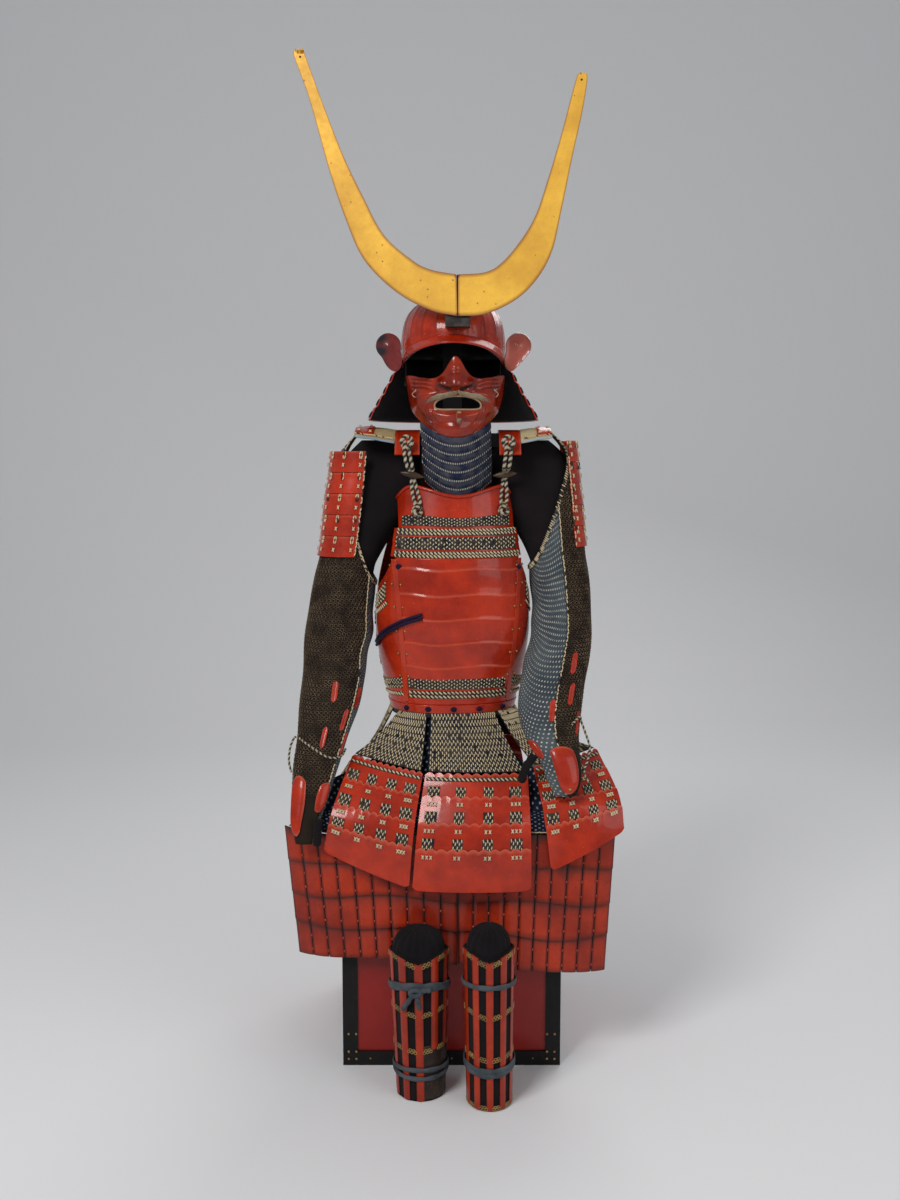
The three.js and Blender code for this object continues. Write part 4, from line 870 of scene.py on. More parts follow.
FINISHES = {
    # Each lacquer's third colour is its mark colour: on the red, a pale pink for painted highlights and rubbed edges;
    # on the brown-red, the painted shadow under the thigh rows; on the mask, the painted shade of its nostrils and
    # creases.
    "red": Lacquer("red_lacquer", (0.27, 0.012, 0.002), (0.52, 0.030, 0.004), (0.55, 0.10, 0.05),
        coat=0.38, wear=0.04),
    "bowl": Lacquer("bowl_lacquer", (0.24, 0.011, 0.002), (0.50, 0.034, 0.004), (0.03, 0.006, 0.004),
        coat=0.4, patches=24, wear=0.03),
    "rust_red": Lacquer("brown_red_lacquer", (0.20, 0.011, 0.002), (0.46, 0.032, 0.005),
        (0.016, 0.004, 0.003), rough=(0.28, 0.5), coat=0.3, patches=9, wear=0.12),
    "face": Lacquer("mask_lacquer", (0.12, 0.006, 0.0015), (0.35, 0.025, 0.003), (0.006, 0.002, 0.002),
        rough=(0.2, 0.32), coat=0.45, patches=22, wear=0.0),
    "black": Lacquer("black_lacquer", (0.003, 0.003, 0.003), (0.008, 0.006, 0.006), (0.03, 0.025, 0.02),
        rough=(0.45, 0.65), coat=0.06, patches=8),
    "box_red": Lacquer("box_red_lacquer", (0.22, 0.005, 0.003), (0.32, 0.010, 0.005), (0.08, 0.01, 0.008),
        rough=(0.3, 0.45), coat=0.35, patches=5, wear=0.02),
    "ear": Lacquer("ear_lacquer", (0.32, 0.06, 0.045), (0.50, 0.13, 0.09), (0.035, 0.03, 0.035),
        rough=(0.2, 0.34), coat=0.45, patches=18, wear=0.02),
    "ear_dark": Lacquer("worn_ear_lacquer", (0.13, 0.014, 0.014), (0.22, 0.03, 0.025), (0.018, 0.016, 0.02),
        rough=(0.2, 0.34), coat=0.45, patches=18, wear=0.02),
    "splint": Lacquer("splint_lacquer", (0.32, 0.014, 0.005), (0.52, 0.045, 0.018), (0.22, 0.03, 0.02),
        rough=(0.3, 0.5), coat=0.25, patches=60),
    "gold": GoldLeaf(),
    "braid": Braid("flecked_braid", (0.66, 0.54, 0.34), (0.005, 0.007, 0.016)),
    "navy": Braid("navy_lacing", (0.70, 0.66, 0.55), (0.004, 0.010, 0.042)),
    "purple": Braid("purple_silk", (0.012, 0.006, 0.030), (0.006, 0.003, 0.014), 0.6),
    "cord": Braid("twisted_cord", (0.46, 0.40, 0.28), (0.010, 0.010, 0.014)),
    "bristle": Braid("bristle", (0.55, 0.45, 0.30), (0.25, 0.17, 0.10), 0.7),
    "rim": Braid("mouth_rim_lacquer", (0.36, 0.25, 0.15), (0.2, 0.1, 0.06), 0.5),
    "dark_cloth": Cloth("dark_cloth", (0.005, 0.004, 0.005), (0.013, 0.010, 0.011)),
    "arm_cloth": Cloth("arm_cloth", (0.005, 0.004, 0.005), (0.013, 0.009, 0.010), 1100),
    "stitched": Cloth("stitched_blue_cloth", (0.022, 0.030, 0.042), (0.09, 0.11, 0.12), 800,
        (0.62, 0.60, 0.50), 96),
    "apron": Cloth("apron_cloth", (0.004, 0.008, 0.024), (0.010, 0.015, 0.034), 800,
        (0.42, 0.42, 0.38), 72),
    "mail_ground": Cloth("mail_ground", (0.008, 0.005, 0.004), (0.028, 0.019, 0.012), 500),
    "brocade": Cloth("brocade", (0.30, 0.19, 0.06), (0.52, 0.42, 0.24), 420, (0.62, 0.55, 0.36), 150),
    "lining": Cloth("pale_blue_lining", (0.22, 0.30, 0.36), (0.40, 0.46, 0.48), 900),
    "tie": Cloth("grey_blue_tie", (0.025, 0.032, 0.042), (0.10, 0.115, 0.125), 700),
    "mail": Metal("iron_mail", (0.20, 0.14, 0.085), (0.035, 0.018, 0.010), 0.5, (0.4, 0.65)),
    "iron": Metal("black_iron", (0.03, 0.028, 0.027), (0.05, 0.04, 0.032), 0.6),
    "pale_wire": Metal("pale_wire", (0.75, 0.62, 0.50), (0.45, 0.3, 0.22), 0.7),
    "brass": Metal("old_brass", (0.55, 0.36, 0.12), (0.20, 0.12, 0.05), 0.9),
    "hide": Lacquer("dark_hide", (0.014, 0.009, 0.007), (0.04, 0.024, 0.016), (0.10, 0.06, 0.04),
        rough=(0.45, 0.7), coat=0.1, patches=30),
    "wood": Lacquer("dark_wood", (0.02, 0.010, 0.006), (0.07, 0.038, 0.018), (0.03, 0.018, 0.01),
        rough=(0.4, 0.6), coat=0.15, patches=20),
}


class Finishes:
    """Every finish of the armour, built once."""

    def __init__(self) -> None:
        """Makes the shared effects and a material of each name in the table."""
        effects = SharedEffects()
        for key, finish in FINISHES.items():
            setattr(self, key, finish.make(effects))


class Studio:
    """The photograph's camera, a pale floor and soft light."""

    PLACE = Vector((-0.003, -2.454, 1.122))
    PITCH = radians(6.47)
    LENS = 38.34
    AIM = Vector((0, -0.1, 0.9))
    LIGHTS = (("key", (-1.5, -2.6, 2.9), 1.2, 72), ("fill", (2.3, -2.2, 1.7), 2.0, 20),
              ("back", (0.9, 2.2, 2.8), 1.8, 26))
    SKY = ((0.93, 0.95, 1.0, 1), 0.32)

    def build(self) -> None:
        """Sets the camera, the floor and the lights."""
        self._camera()
        self._floor()
        for name, place, size, watts in self.LIGHTS:
            lamp = bpy.data.lights.new(name, "AREA")
            lamp.size = size
            lamp.energy = watts
            self._put(name, lamp, Vector(place), (self.AIM - Vector(place)).to_track_quat("-Z", "Y").to_euler())
        world = bpy.data.worlds.new("studio")
        world.use_nodes = True
        back = next(n for n in world.node_tree.nodes if n.type == "BACKGROUND")
        back.inputs["Color"].default_value, back.inputs["Strength"].default_value = self.SKY
        bpy.context.scene.world = world
        bpy.context.scene.view_settings.view_transform = "Standard"

    def _put(self, name: str, data: bpy.types.ID, place: Vector, turn: Sequence[float]) -> bpy.types.Object:
        """Adds one object of the studio."""
        thing = bpy.data.objects.new(name, data)
        thing.location = place
        thing.rotation_euler = turn
        bpy.context.scene.collection.objects.link(thing)
        return thing

    def _camera(self) -> None:
        """Sets the camera."""
        lens = bpy.data.cameras.new("camera")
        lens.lens = self.LENS
        lens.sensor_width = 36
        lens.clip_start = 0.05
        turn = (pi / 2 - self.PITCH, 0, 0)
        bpy.context.scene.camera = self._put("camera", lens, self.PLACE, turn)

    def _floor(self) -> None:
        """Lays a floor that bends up far behind the object."""
        bm = bmesh.new()
        made = bmesh.ops.create_grid(bm, x_segments=1, y_segments=24, size=1)["verts"]
        for vert in made:
            share = (vert.co.y + 1) / 2
            turn = clamp((share - 0.5) / 0.3) * pi / 2
            ahead = lerp(-5, 2.4, clamp(share / 0.5))
            past = clamp((share - 0.8) / 0.2)
            vert.co = (vert.co.x * 9, ahead + 1.5 * sin(turn), 1.5 * (1 - cos(turn)) + past * 5)
        mesh = bpy.data.meshes.new("floor")
        bm.to_mesh(mesh)
        bm.free()
        mesh.shade_smooth()
        coat = Coat("floor_finish", Roughness=0.8, Base_Color=(0.80, 0.80, 0.80, 1))
        mesh.materials.append(coat.material)
        self._put("floor", mesh, Vector((0, 0, 0)), (0, 0, 0))


class Slant(Enum):
    """Which way the stitches of a row lean, in degrees."""

    LEFT = 30
    UPRIGHT = 9
    ROPE = 48


@dataclass
class Lacing:
    """Braid that is laced, sewn or knotted over a surface, stitch by stitch."""

    stamps: Stamps
    dice: random.Random = field(default_factory=lambda: random.Random(7))

    def row(self, piece: Piece, skin: Skin, v: float, span: tuple[float, float] = (0.02, 0.98), pitch: float = 3.2,
            slant: Slant = Slant.ROPE, size: float = 1.0, navy: float = 0.33) -> None:
        """Lays one row of stitches across a surface.

        Args:
            piece: The piece that gets them.
            skin: The surface.
            v: The row's place up it.
            span: Where the row starts and ends across it.
            pitch: Millimetres from one stitch to the next.
            slant: How the stitches lean.
            size: The stitches' scale.
            navy: The share of dark stitches.
        """
        count = max(1, round(skin.width_at(v, span) / pitch))
        dark, light = [], []
        for k in range(count):
            u = lerp(*span, (k + 0.5) / count)
            wobble = self.dice.uniform(0.92, 1.08)
            place = skin.seat(u, v, slant.value * wobble, 0.9 * size, (size, size * wobble, size))
            (dark if self.dice.random() < navy else light).append(place)
        piece.stamp(self.stamps.cream, light)
        piece.stamp(self.stamps.navy, dark)

    def band(self, piece: Piece, skin: Skin, low: float, high: float, rows: int, pitch: float = 4.0,
             span: tuple[float, float] = (0.02, 0.98)) -> None:
        """Lays slanting stitches on a dark ground, in rows that lean to and fro between two heights."""
        self.weave(piece, skin, span, (low, high), pitch, 0.0, Slant.LEFT, rows)

    def weave(self, piece: Piece, skin: Skin, span: tuple[float, float], heights: tuple[float, float],
              pitch: float = 3.5, cell: float = 11.0, slant: Slant = Slant.UPRIGHT, cells: int = 0) -> None:
        """Lays upright stitches on a dark ground, each column half a step off its neighbours.

        Args:
            piece: The piece that gets them.
            skin: The surface.
            span: Where they start and end across it.
            heights: Where they start and end up it.
            pitch: Millimetres from one column to the next.
            cell: Millimetres from one stitch to the next up a column.
            slant: How far the stitches lean to and fro.
            cells: The stitches in a column, or 0 to count them from the cell.
        """
        wide = max((skin.at(span[1], 0.5) - skin.at(span[0], 0.5)).length, skin.width_at(heights[0], span))
        tall = (skin.at(0.5, heights[1]) - skin.at(0.5, heights[0])).length
        cells = cells or max(1, round(tall / cell))
        columns = max(2, round(wide / pitch))
        ground = Skin(lambda u, v: skin.at(lerp(*span, u), lerp(*heights, v)) + skin.normal(
            lerp(*span, u), lerp(*heights, v)) * 0.5, skin.core)
        piece.patch(ground, max(4, columns // 2), max(2, cells), 1.0)
        light, dark = [], []
        long = tall / cells * 0.66 / 7.2
        for column in range(columns):
            u = lerp(*span, (column + 0.5) / columns)
            for k in range(cells):
                v = lerp(*heights, (k + (0.3 if column % 2 else 0.7)) / cells)
                lean = slant.value * (1 if (column + k) % 2 else -1) * self.dice.uniform(0.7, 1.3)
                place = skin.seat(u, v, lean, 1.1, (1.08, long, 1.0))
                (dark if self.dice.random() < 0.05 else light).append(place)
        piece.stamp(self.stamps.cream, light)
        piece.stamp(self.stamps.navy, dark)

    def rope(self, piece: Piece, skin: Skin, v: float, span: tuple[float, float] = (0.02, 0.98)) -> None:
        """Lays a rope of thick slanting stitches on a dark ground."""
        half = 3.6 / skin.extent()[1]
        ground = Skin(lambda a, b: skin.at(lerp(*span, a), clamp(v + (2 * b - 1) * half)) + skin.normal(
            lerp(*span, a), v) * 0.6, skin.core)
        piece.patch(ground, 40, 2, 1.0)
        self.row(piece, skin, v, span, 8.0, Slant.ROPE, 1.4, 0.0)

    def column(self, piece: Piece, skin: Skin, u: float, low: float, high: float, strands: int = 4) -> None:
        """Lays a bundle of upright stitches between two heights."""
        wide, tall = skin.extent()
        if strands > 2:
            half = strands * 1.85 / wide
            self.weave(piece, skin, (clamp(u - half), clamp(u + half)), (low, high), 3.6, 10.5)
            return
        count = max(1, round((high - low) * tall / 7.0))
        for strand in range(strands):
            place = u + (strand - (strands - 1) / 2) * 3.7 / wide
            dark, light = [], []
            for k in range(count):
                v = lerp(low, high, (k + 0.5) / count)
                lean = 14 if (k + strand) % 2 else -14
                seat = skin.seat(clamp(place), clamp(v), lean, 1.4, (1.15, 1.15, 1.1))
                (dark if self.dice.random() < 0.16 else light).append(seat)
            piece.stamp(self.stamps.cream, light)
            piece.stamp(self.stamps.navy, dark)

    def cross(self, piece: Piece, skin: Skin, u: float, v: float, size: float = 1.4) -> None:
        """Lays one crossed knot."""
        places = [skin.seat(u, v, lean, 2.0, (size, size * 1.25, size)) for lean in (30, -30)]
        piece.stamp(self.stamps.cream, places)


@dataclass
class Assembly:
    """A group of pieces, with the finishes and the lacing that it takes."""

    finishes: Finishes
    lacing: Lacing


PLATE_FOOT, PLATE_TOP = 657, 934
HINGE_FOOT, HINGE_TOP = 662, 930


def above_wave(z: float, height: float, angle: float) -> float:
    """How far a place of the breast plate lies above one of its waves."""
    return z - height - 2.5 * sin(angle * 6.65)


class Cuirass(Assembly):
    """The breast plate, the sides, the back and the lame under them."""

    @staticmethod
    def breast_top(out: float) -> Skin:
        """The breast's top plate."""
        def at(u: float, v: float) -> Vector:
            s = abs(2 * u - 1)
            rounded = max(0.0, (s - 0.78) / 0.22)
            top = 1064 - 18 * max(0.0, cos(min(s / 0.74, 1) * pi / 2)) ** 1.5 - 22 * rounded * rounded
            z = lerp(987.3, top, v)
            return torso(angle_at((2 * u - 1) * 109, z), z, out)
        return Skin(at, torso_core)

    @staticmethod
    def breast_upper(out: float) -> Skin:
        """The two laced lames under it."""
        def at(u: float, v: float) -> Vector:
            z = lerp(934.3, 987, v)
            return torso(angle_at((2 * u - 1) * lerp(124, 114, v), z), z, out + 1.6 * clamp((v - 0.48) / 0.04))
        return Skin(at, torso_core)

    @staticmethod
    def breast_plate(out: float, waves: bool = True) -> Skin:
        """The smooth breast plate with its wavy ledges."""
        def at(u: float, v: float) -> Vector:
            z = lerp(PLATE_FOOT, PLATE_TOP, v)
            angle = angle_at((2 * u - 1) * hinge_width(z), z)
            lift = 0.0
            if waves:
                for height in WAVES:
                    above = above_wave(z, height, angle)
                    lift += 1.6 * clamp(1 - above / 2.5) * clamp((above + 34) / 34) if above < 2.5 else 0
            return torso(angle, z, out + lift)
        return Skin(at, torso_core)

    @staticmethod
    def side(way: int, out: float) -> Skin:
        """A side plate, hollowed under the armpit."""
        end = radians(95)
        first = angle_at(hinge_width(900), 900)

        def at(u: float, v: float) -> Vector:
            guess = lerp(first, end, u)
            z = lerp(PLATE_FOOT, 872 + 54 * clamp((end - guess) / 0.66) ** 1.6, v)
            start = angle_at(hinge_width(z), z) + 2.4 / 147
            return torso(way * lerp(start, end, u), z, out)
        return Skin(at, torso_core)

    @staticmethod
    def back(out: float) -> Skin:
        """The back plate."""
        start = radians(95.2)

        def at(u: float, v: float) -> Vector:
            s = abs(2 * u - 1)
            rise = 1 - clamp((s - 0.52) / 0.46) ** 0.8
            dip = 20 * cos(min(s / 0.4, 1) * pi / 2)
            return torso(lerp(start, TAU - start, u), lerp(PLATE_FOOT, lerp(872, 1116, rise) - dip, v), out)
        return Skin(at, torso_core)

    def build(self) -> None:
        """Makes the plates, then what is laced and riveted to them."""
        self._plates()
        self._ropes()
        self._metal()
        self._knots()

    def _plates(self) -> None:
        """Makes the lacquered plates."""
        # The tone paints a thin pale highlight along the top lip of each wave ledge.
        def marks(u: float, v: float) -> float:
            z = lerp(PLATE_FOOT, PLATE_TOP, v)
            angle = angle_at((2 * u - 1) * hinge_width(z), z)
            return max(bump(above_wave(z, height, angle) - 0.4, 1.5) for height in WAVES) * 0.6

        red = self.finishes.red
        top = Piece("breast_top_plate")
        top.patch(self.breast_top(-0.2), 56, 18)
        top.finish(red, ["breast_top"], "lacquer", wall=2.8, bevel=0.8)
        rim = Piece("breast_rim")
        edge = self.breast_top(0.6)
        rim.cord([edge.at(k / 60, 1) for k in range(61)], 3.4, 10)
        rim.finish(red, slot="lacquer")
        upper = Piece("breast_laced_lames")
        upper.patch(self.breast_upper(-0.2), 48, 24)
        upper.finish(red, ["breast_upper"], "lacquer", wall=2.8, bevel=0.5)
        plate = Piece("breast_wave_plate")
        plate.patch(self.breast_plate(-0.1), 56, 120, marks)
        plate.finish(red, ["breast_plate"], "lacquer", wall=2.8)
        for way, word in ((-1, "left"), (1, "right")):
            side = Piece(f"side_wave_plate_{word}")
            side.patch(self.side(way, -0.1), 18, 30)
            side.finish(red, [f"side_plate_{word}"], "lacquer", wall=2.8, bevel=0.6)
        back = Piece("back_laced_plate")
        back.patch(self.back(-0.1), 48, 36)
        back.finish(red, ["back_plate"], "lacquer", wall=2.8, bevel=0.6)
        waist = Piece("waist_band")
        waist.patch(Skin(lambda u, v: torso(TAU * u, lerp(641, 656.7, v), 1.9), torso_core), 96, 3, wrap=True)
        waist.finish(red, ["waist_lame"], "lacquer", wall=2.8, bevel=0.8)

    def _ropes(self) -> None:
        """Laces the bands over the plates."""
        bands = Piece("cuirass_lacing")
        top, upper, low = self.breast_top(0), self.breast_upper(0), self.breast_plate(0, waves=False)
        self.lacing.band(bands, top, 0.07, 0.33, 3, 5.6, (0.03, 0.95))
        self.lacing.rope(bands, upper, 0.955)
        self.lacing.rope(bands, upper, 0.84)
        self.lacing.band(bands, upper, 0.28, 0.72, 3, 5.6, (0.02, 0.96))
        self.lacing.rope(bands, upper, 0.16)
        self.lacing.rope(bands, upper, 0.05)
        self.lacing.band(bands, low, 0.112, 0.184, 3, 5.6, (0.02, 0.96))
        self.lacing.rope(bands, low, 0.088)
        self.lacing.rope(bands, low, 0.06)
        bands.finish(self.finishes.braid, slot="braid")
        sides = Piece("side_and_back_lacing")
        for way in (-1, 1):
            skin = self.side(way, 0)
            self.lacing.band(sides, skin, 0.11, 0.19, 3, 5.6, (0.05, 0.93))
            self.lacing.rope(sides, skin, 0.07, (0.05, 0.95))
            self.lacing.band(sides, skin, 0.80, 0.93, 4, 5.6, (0.35, 0.93))
            self.lacing.rope(sides, skin, 0.76, (0.3, 0.95))
        back = self.back(0)
        for v in (0.13, 0.30, 0.47, 0.64):
            self.lacing.band(sides, back, v, v + 0.045, 3, 6.4)
            self.lacing.rope(sides, back, v - 0.02)
        self.lacing.band(sides, back, 0.80, 0.845, 3, 6.4, (0.24, 0.75))
        sides.finish(self.finishes.braid, slot="braid")

    def _metal(self) -> None:
        """Makes the hinges and their rivets."""
        for way, word in ((-1, "left"), (1, "right")):
            bar = Piece(f"hinge_{word}")

            def at(u: float, v: float, way: int = way) -> Vector:
                z = lerp(HINGE_FOOT, HINGE_TOP, v)
                return torso(way * angle_at(hinge_width(z) + lerp(-3.2, 5.2, u), z), z, 1.6)
            skin = Skin(at, torso_core)
            bar.patch(skin, 2, 40, 0.15)
            bar.finish(self.finishes.red, slot="lacquer", wall=1.5, bevel=0.6)
            heads = Piece(f"hinge_rivets_{word}")
            for z in (680, 712, 755, 798, 842, 884, 918):
                v = (z - HINGE_FOOT) / (HINGE_TOP - HINGE_FOOT)
                heads.stamp(self.lacing.stamps.rivet, [skin.seat(u, v) for u in (-0.35, 1.35)])
            heads.finish(self.finishes.brass, slot="iron")

    def _knots(self) -> None:
        """Makes the purple knots at the hinges and along the waist."""
        knots = Piece("purple_knots")
        for x, z in ((-98, 917), (125, 914), (-84, 649), (-44, 649), (4, 649), (52, 649), (96, 649)):
            spot = Vector((x, front_of(x, z) - 3.2, z))
            loop = [spot + Vector((4.2 * cos(a), -1.2 * sin(2 * a), 3.2 * sin(a)))
                    for a in loop_turns(16)]
            knots.cord(loop, 1.9, 7)
            knots.cord([spot + Vector((-4, 0.5, -2)), spot + Vector((0, -2.4, 0)), spot + Vector((4, 0.5, 2))], 1.9, 7)
        knots.finish(self.finishes.purple, slot="purple_cord")


@dataclass(frozen=True)
class Flap:
    """One tasset: its corners from top to bottom, and how far it bulges."""

    name: str
    inner: tuple[Sequence[float], ...]
    outer: tuple[Sequence[float], ...]
    bulge: float

    def at(self, u: float, v: float, out: float) -> Vector:
        """A point on it, v 0 at its top."""
        rows = [(k / 2, *Vector(a).lerp(Vector(b), u)) for k, (a, b) in enumerate(zip(self.inner, self.outer))]
        along = Vector(self.outer[1]) - Vector(self.inner[1])
        outward = Vector((along.y, -along.x, 0)).normalized()
        arc = 1 - (2 * u - 1) ** 2
        return Vector(tuple(read(rows, k, v) for k in (1, 2, 3))) + outward * (self.bulge * arc + out)


FLAPS = (
    Flap("front", ((-48, -163, 547), (-62, -225, 452), (-71, -241, 348)),
         ((139, -163, 547), (142, -225, 452), (143, -241, 348)), 11),
    Flap("front_left", ((-183, -118, 571), (-214, -219, 490), (-230, -231, 418)),
         ((-52, -163, 547), (-67, -226, 456), (-76, -237, 351)), 9),
    Flap("front_right", ((148, -158, 557), (162, -222, 493), (177, -241, 384)),
         ((270, -96, 577), (302, -186, 512), (309, -226, 455)), 9),
    Flap("side_left", ((-150, 52, 552), (-211, 66, 482), (-223, 84, 346)),
         ((-162, -58, 556), (-211, -78, 484), (-224, -94, 350)), 8),
    Flap("side_right", ((178, -52, 556), (211, -74, 484), (226, -92, 350)),
         ((166, 60, 552), (211, 74, 482), (224, 92, 346)), 8),
    Flap("back_left", ((-2, 146, 549), (-2, 211, 480), (-4, 226, 344)),
         ((-118, 118, 552), (-142, 211, 482), (-160, 226, 348)), 9),
    Flap("back_right", ((134, 118, 552), (152, 211, 482), (168, 226, 348)),
         ((10, 146, 549), (8, 211, 480), (8, 226, 344)), 9),
)


class Skirt(Assembly):
    """The seven laced flaps under the waist."""

    def build(self) -> None:
        """Makes the flaps, then their laces."""
        for flap in FLAPS:
            self._lames(flap)
        self._hanging()

    @staticmethod
    def _lame(flap: Flap, row: int, out: float = 0.0, scallops: bool = True) -> Skin:
        """One lame of a flap: v 0 at its bottom, v 1 at its scalloped top."""
        top, bottom = LAME_STARTS[row], LAME_STARTS[row + 1]

        def at(u: float, v: float) -> Vector:
            share = 1 - v
            height = (flap.at(u, 0, 0) - flap.at(u, 1, 0)).length
            notch = (1 - abs(sin(u * 11 * pi))) * 4.6 * v ** 4 if scallops else 0
            low = 0.03 * clamp((abs(2 * u - 1) - 0.88) / 0.12) ** 2 * (1 - v) if row == 3 else 0
            place = lerp(top - (0.035 if row else 0), bottom, share) + notch / height - low
            return flap.at(u, clamp(place), out + 2.2 + 4.2 * (1 - share) ** 1.5)
        return Skin(at, upright(2, 0))

    def _lames(self, flap: Flap) -> None:
        """Makes the lames of one flap and their braid."""
        plates = Piece(f"tasset_plates_{flap.name}")
        braid = Piece(f"tasset_braid_{flap.name}")
        for row in range(4):
            skin = self._lame(flap, row)
            # The tone paints a pale pink highlight along each lame's scalloped top edge, which also stands for rubbed
            # lacquer.
            plates.patch(skin, 88, 8, lambda u, v: 0.85 * bump(v - 1, 0.035))
            surface = self._lame(flap, row, 0.2, scallops=False)
            if row == 0:
                self.lacing.rope(braid, surface, 0.74)
            for u, strands in ((0.105, 6), (0.36, 5), (0.62, 5), (0.87, 6)):
                if row < 3:
                    self.lacing.column(braid, surface, u, 0.0, 0.46, strands)
                if row:
                    for step in (-0.034, 0.0, 0.034) if strands > 5 else (-0.018, 0.018):
                        self.lacing.cross(braid, surface, u + step, 0.70 if row < 3 else 0.80, 1.15)
        plates.finish(self.finishes.red, [f"tasset_{flap.name}"], "lacquer", wall=2.2, bevel=0.5)
        braid.finish(self.finishes.braid, slot="braid")

    def _hanging(self) -> None:
        """Makes the close laces between the waist and the flaps."""
        laces = Piece("skirt_laces")
        ground = Piece("skirt_lace_ground")
        for flap in FLAPS:
            def at(u: float, v: float, flap: Flap = flap) -> Vector:
                end = flap.at(lerp(0.03, 0.97, u), 0, 1.6) + Vector((0, 0, 0.4))
                angle = atan2(end.x - TORSO_X, -end.y) - TORSO_YAW
                spot = torso(angle, 640.7, 0.6).lerp(end, 1 - v)
                return spot - Vector((0, 0, 7 * sin(v * pi)))
            skin = Skin(at, lambda p: Vector((2, 0, p.z - 120)))
            ground.patch(skin, 24, 8, 1.0)
            self.lacing.weave(laces, skin, (0.005, 0.995), (0.0, 1.0), 4.1, 13.0)
        ground.patch(Skin(lambda u, v: torso(TAU * u, lerp(632, 640.7, v), 1.2), torso_core), 96, 2, 1.0, wrap=True)
        ground.finish(self.finishes.braid, ["skirt_lacing"], "braid", wall=1.4)
        laces.finish(self.finishes.braid, slot="braid")


THIGH_ROWS, THIGH_COLUMNS = 4, 10
THIGH_GAP = 0.0007


class Thighs(Assembly):
    """The apron cloth with its rows of laced plates."""

    def build(self) -> None:
        """Makes the apron, then its plates."""
        self._apron()
        self._plates("left", (-0.5, -309, -280, 203, 12, 8))
        self._plates("right", (0.5, 298, 279, 206, -16, -6))

    def _apron(self) -> None:
        """Makes the stitched cloth."""
        heights = (443.2, 458, 474, 482, 510, 534, 560, 594, 624, 654)

        def at(u: float, v: float) -> Vector:
            k = v * (len(heights) - 1)
            z = lerp(heights[int(k)], heights[min(int(k) + 1, len(heights) - 1)], k % 1)
            x = lerp(read(APRON_EDGES, 1, z), read(APRON_EDGES, 2, z), u)
            fold = 1.6 * sin(x / 21) * clamp((z - 480) / 50)
            tuck = clamp((z - 585) / 46)
            waist = front_of(clamp(x, -90, 100), 636) + 6.5
            return Vector((x, lerp(read(APRON_SECTION, 1, z) + curl_of(x) + fold, waist, tuck), z))
        skin = Skin(at, behind)
        cloth = Piece("stitched_apron")
        cloth.patch(skin, 46, 30)
        piece = cloth.finish(self.finishes.apron, ["thigh_apron"], "blue_cloth", wall=2.0)
        edge = Piece("apron_edge_braid")
        self.lacing.row(edge, skin, 0.02, (0.005, 0.995), 3.0, Slant.ROPE, 0.9)
        hem = edge.finish(self.finishes.braid, slot="braid")

    def _plates(self, side: str, form: Sequence[float]) -> None:
        """Makes the rows of one side.

        Args:
            side: Which side.
            form: The inner x, outer x, outer x at the foot, foot's z, lift and bow.
        """
        inner, outer, outer_low, bottom, lift, bow = form

        def at(u: float, v: float, out: float = 0.0) -> Vector:
            z = lerp(442.5, bottom, v) + lift * u * v + bow * sin(pi * u) * v
            x = 11 + lerp(inner, lerp(outer, outer_low, v) - 11, u)
            return Vector((x, -211.8 - 8 * v + curl_of(x) - out, z))
        inner_side = Skin(lambda u, v: at(lerp(0.004, 0.996, u), lerp(0.996, 0.01, v), 0.3), behind)
        (Piece(f"thigh_backing_{side}").patch(inner_side, 30, 12)
         .finish(self.finishes.dark_cloth, slot="dark_cloth", wall=1.0))
        plates = Piece(f"thigh_plates_{side}")
        knots = Piece(f"thigh_knots_{side}")
        for row in range(THIGH_ROWS):
            for col in range(THIGH_COLUMNS):
                def plate(u: float, v: float, row: int = row, col: int = col) -> Vector:
                    across = clamp(lerp(col / THIGH_COLUMNS + THIGH_GAP, (col + 1) / THIGH_COLUMNS - THIGH_GAP, u))
                    share = 1 - v
                    puff = 1.2 * (1 - (2 * u - 1) ** 4)
                    wave = 0.02 * lerp(sin(7 * across + 1.7 * row) if row < 3 else 0,
                                       sin(7 * across + 1.7 * row - 1.7) if row else 0, v)
                    place = clamp((row + share) / THIGH_ROWS + wave - (0.03 if row else 0) * v)
                    return at(across, place, 1.6 + 5.4 * share ** 1.5 + puff)
                # The tone darkens each plate's side and bottom edges, and paints the shadow that the row above casts
                # across its top.
                plates.patch(Skin(plate, behind), 6, 7, lambda u, v: clamp(
                    0.9 * (bump(u, 0.03) + bump(u - 1, 0.03)) + bump(v - 1, 0.2) + 0.6 * bump(v, 0.03)))
                if col:
                    seam = Skin(lambda u, v, row=row, col=col: at(
                        clamp((col + (u - 0.5) * 0.3) / THIGH_COLUMNS), clamp((row + 1 - v) / THIGH_ROWS),
                        2.6 + 5.4 * (1 - v) ** 1.5), behind)
                    seats = [seam.seat(0.5, v, size=(0.95, 1.2, 1.2)) for v in (0.2, 0.62)]
                    knots.stamp(self.lacing.stamps.rivet, seats)
        plates.finish(self.finishes.rust_red, [f"thigh_guard_{side}"], "dark_lacquer", wall=2.0, bevel=0.7)
        knots.finish(self.finishes.splint, slot="dark_lacquer")


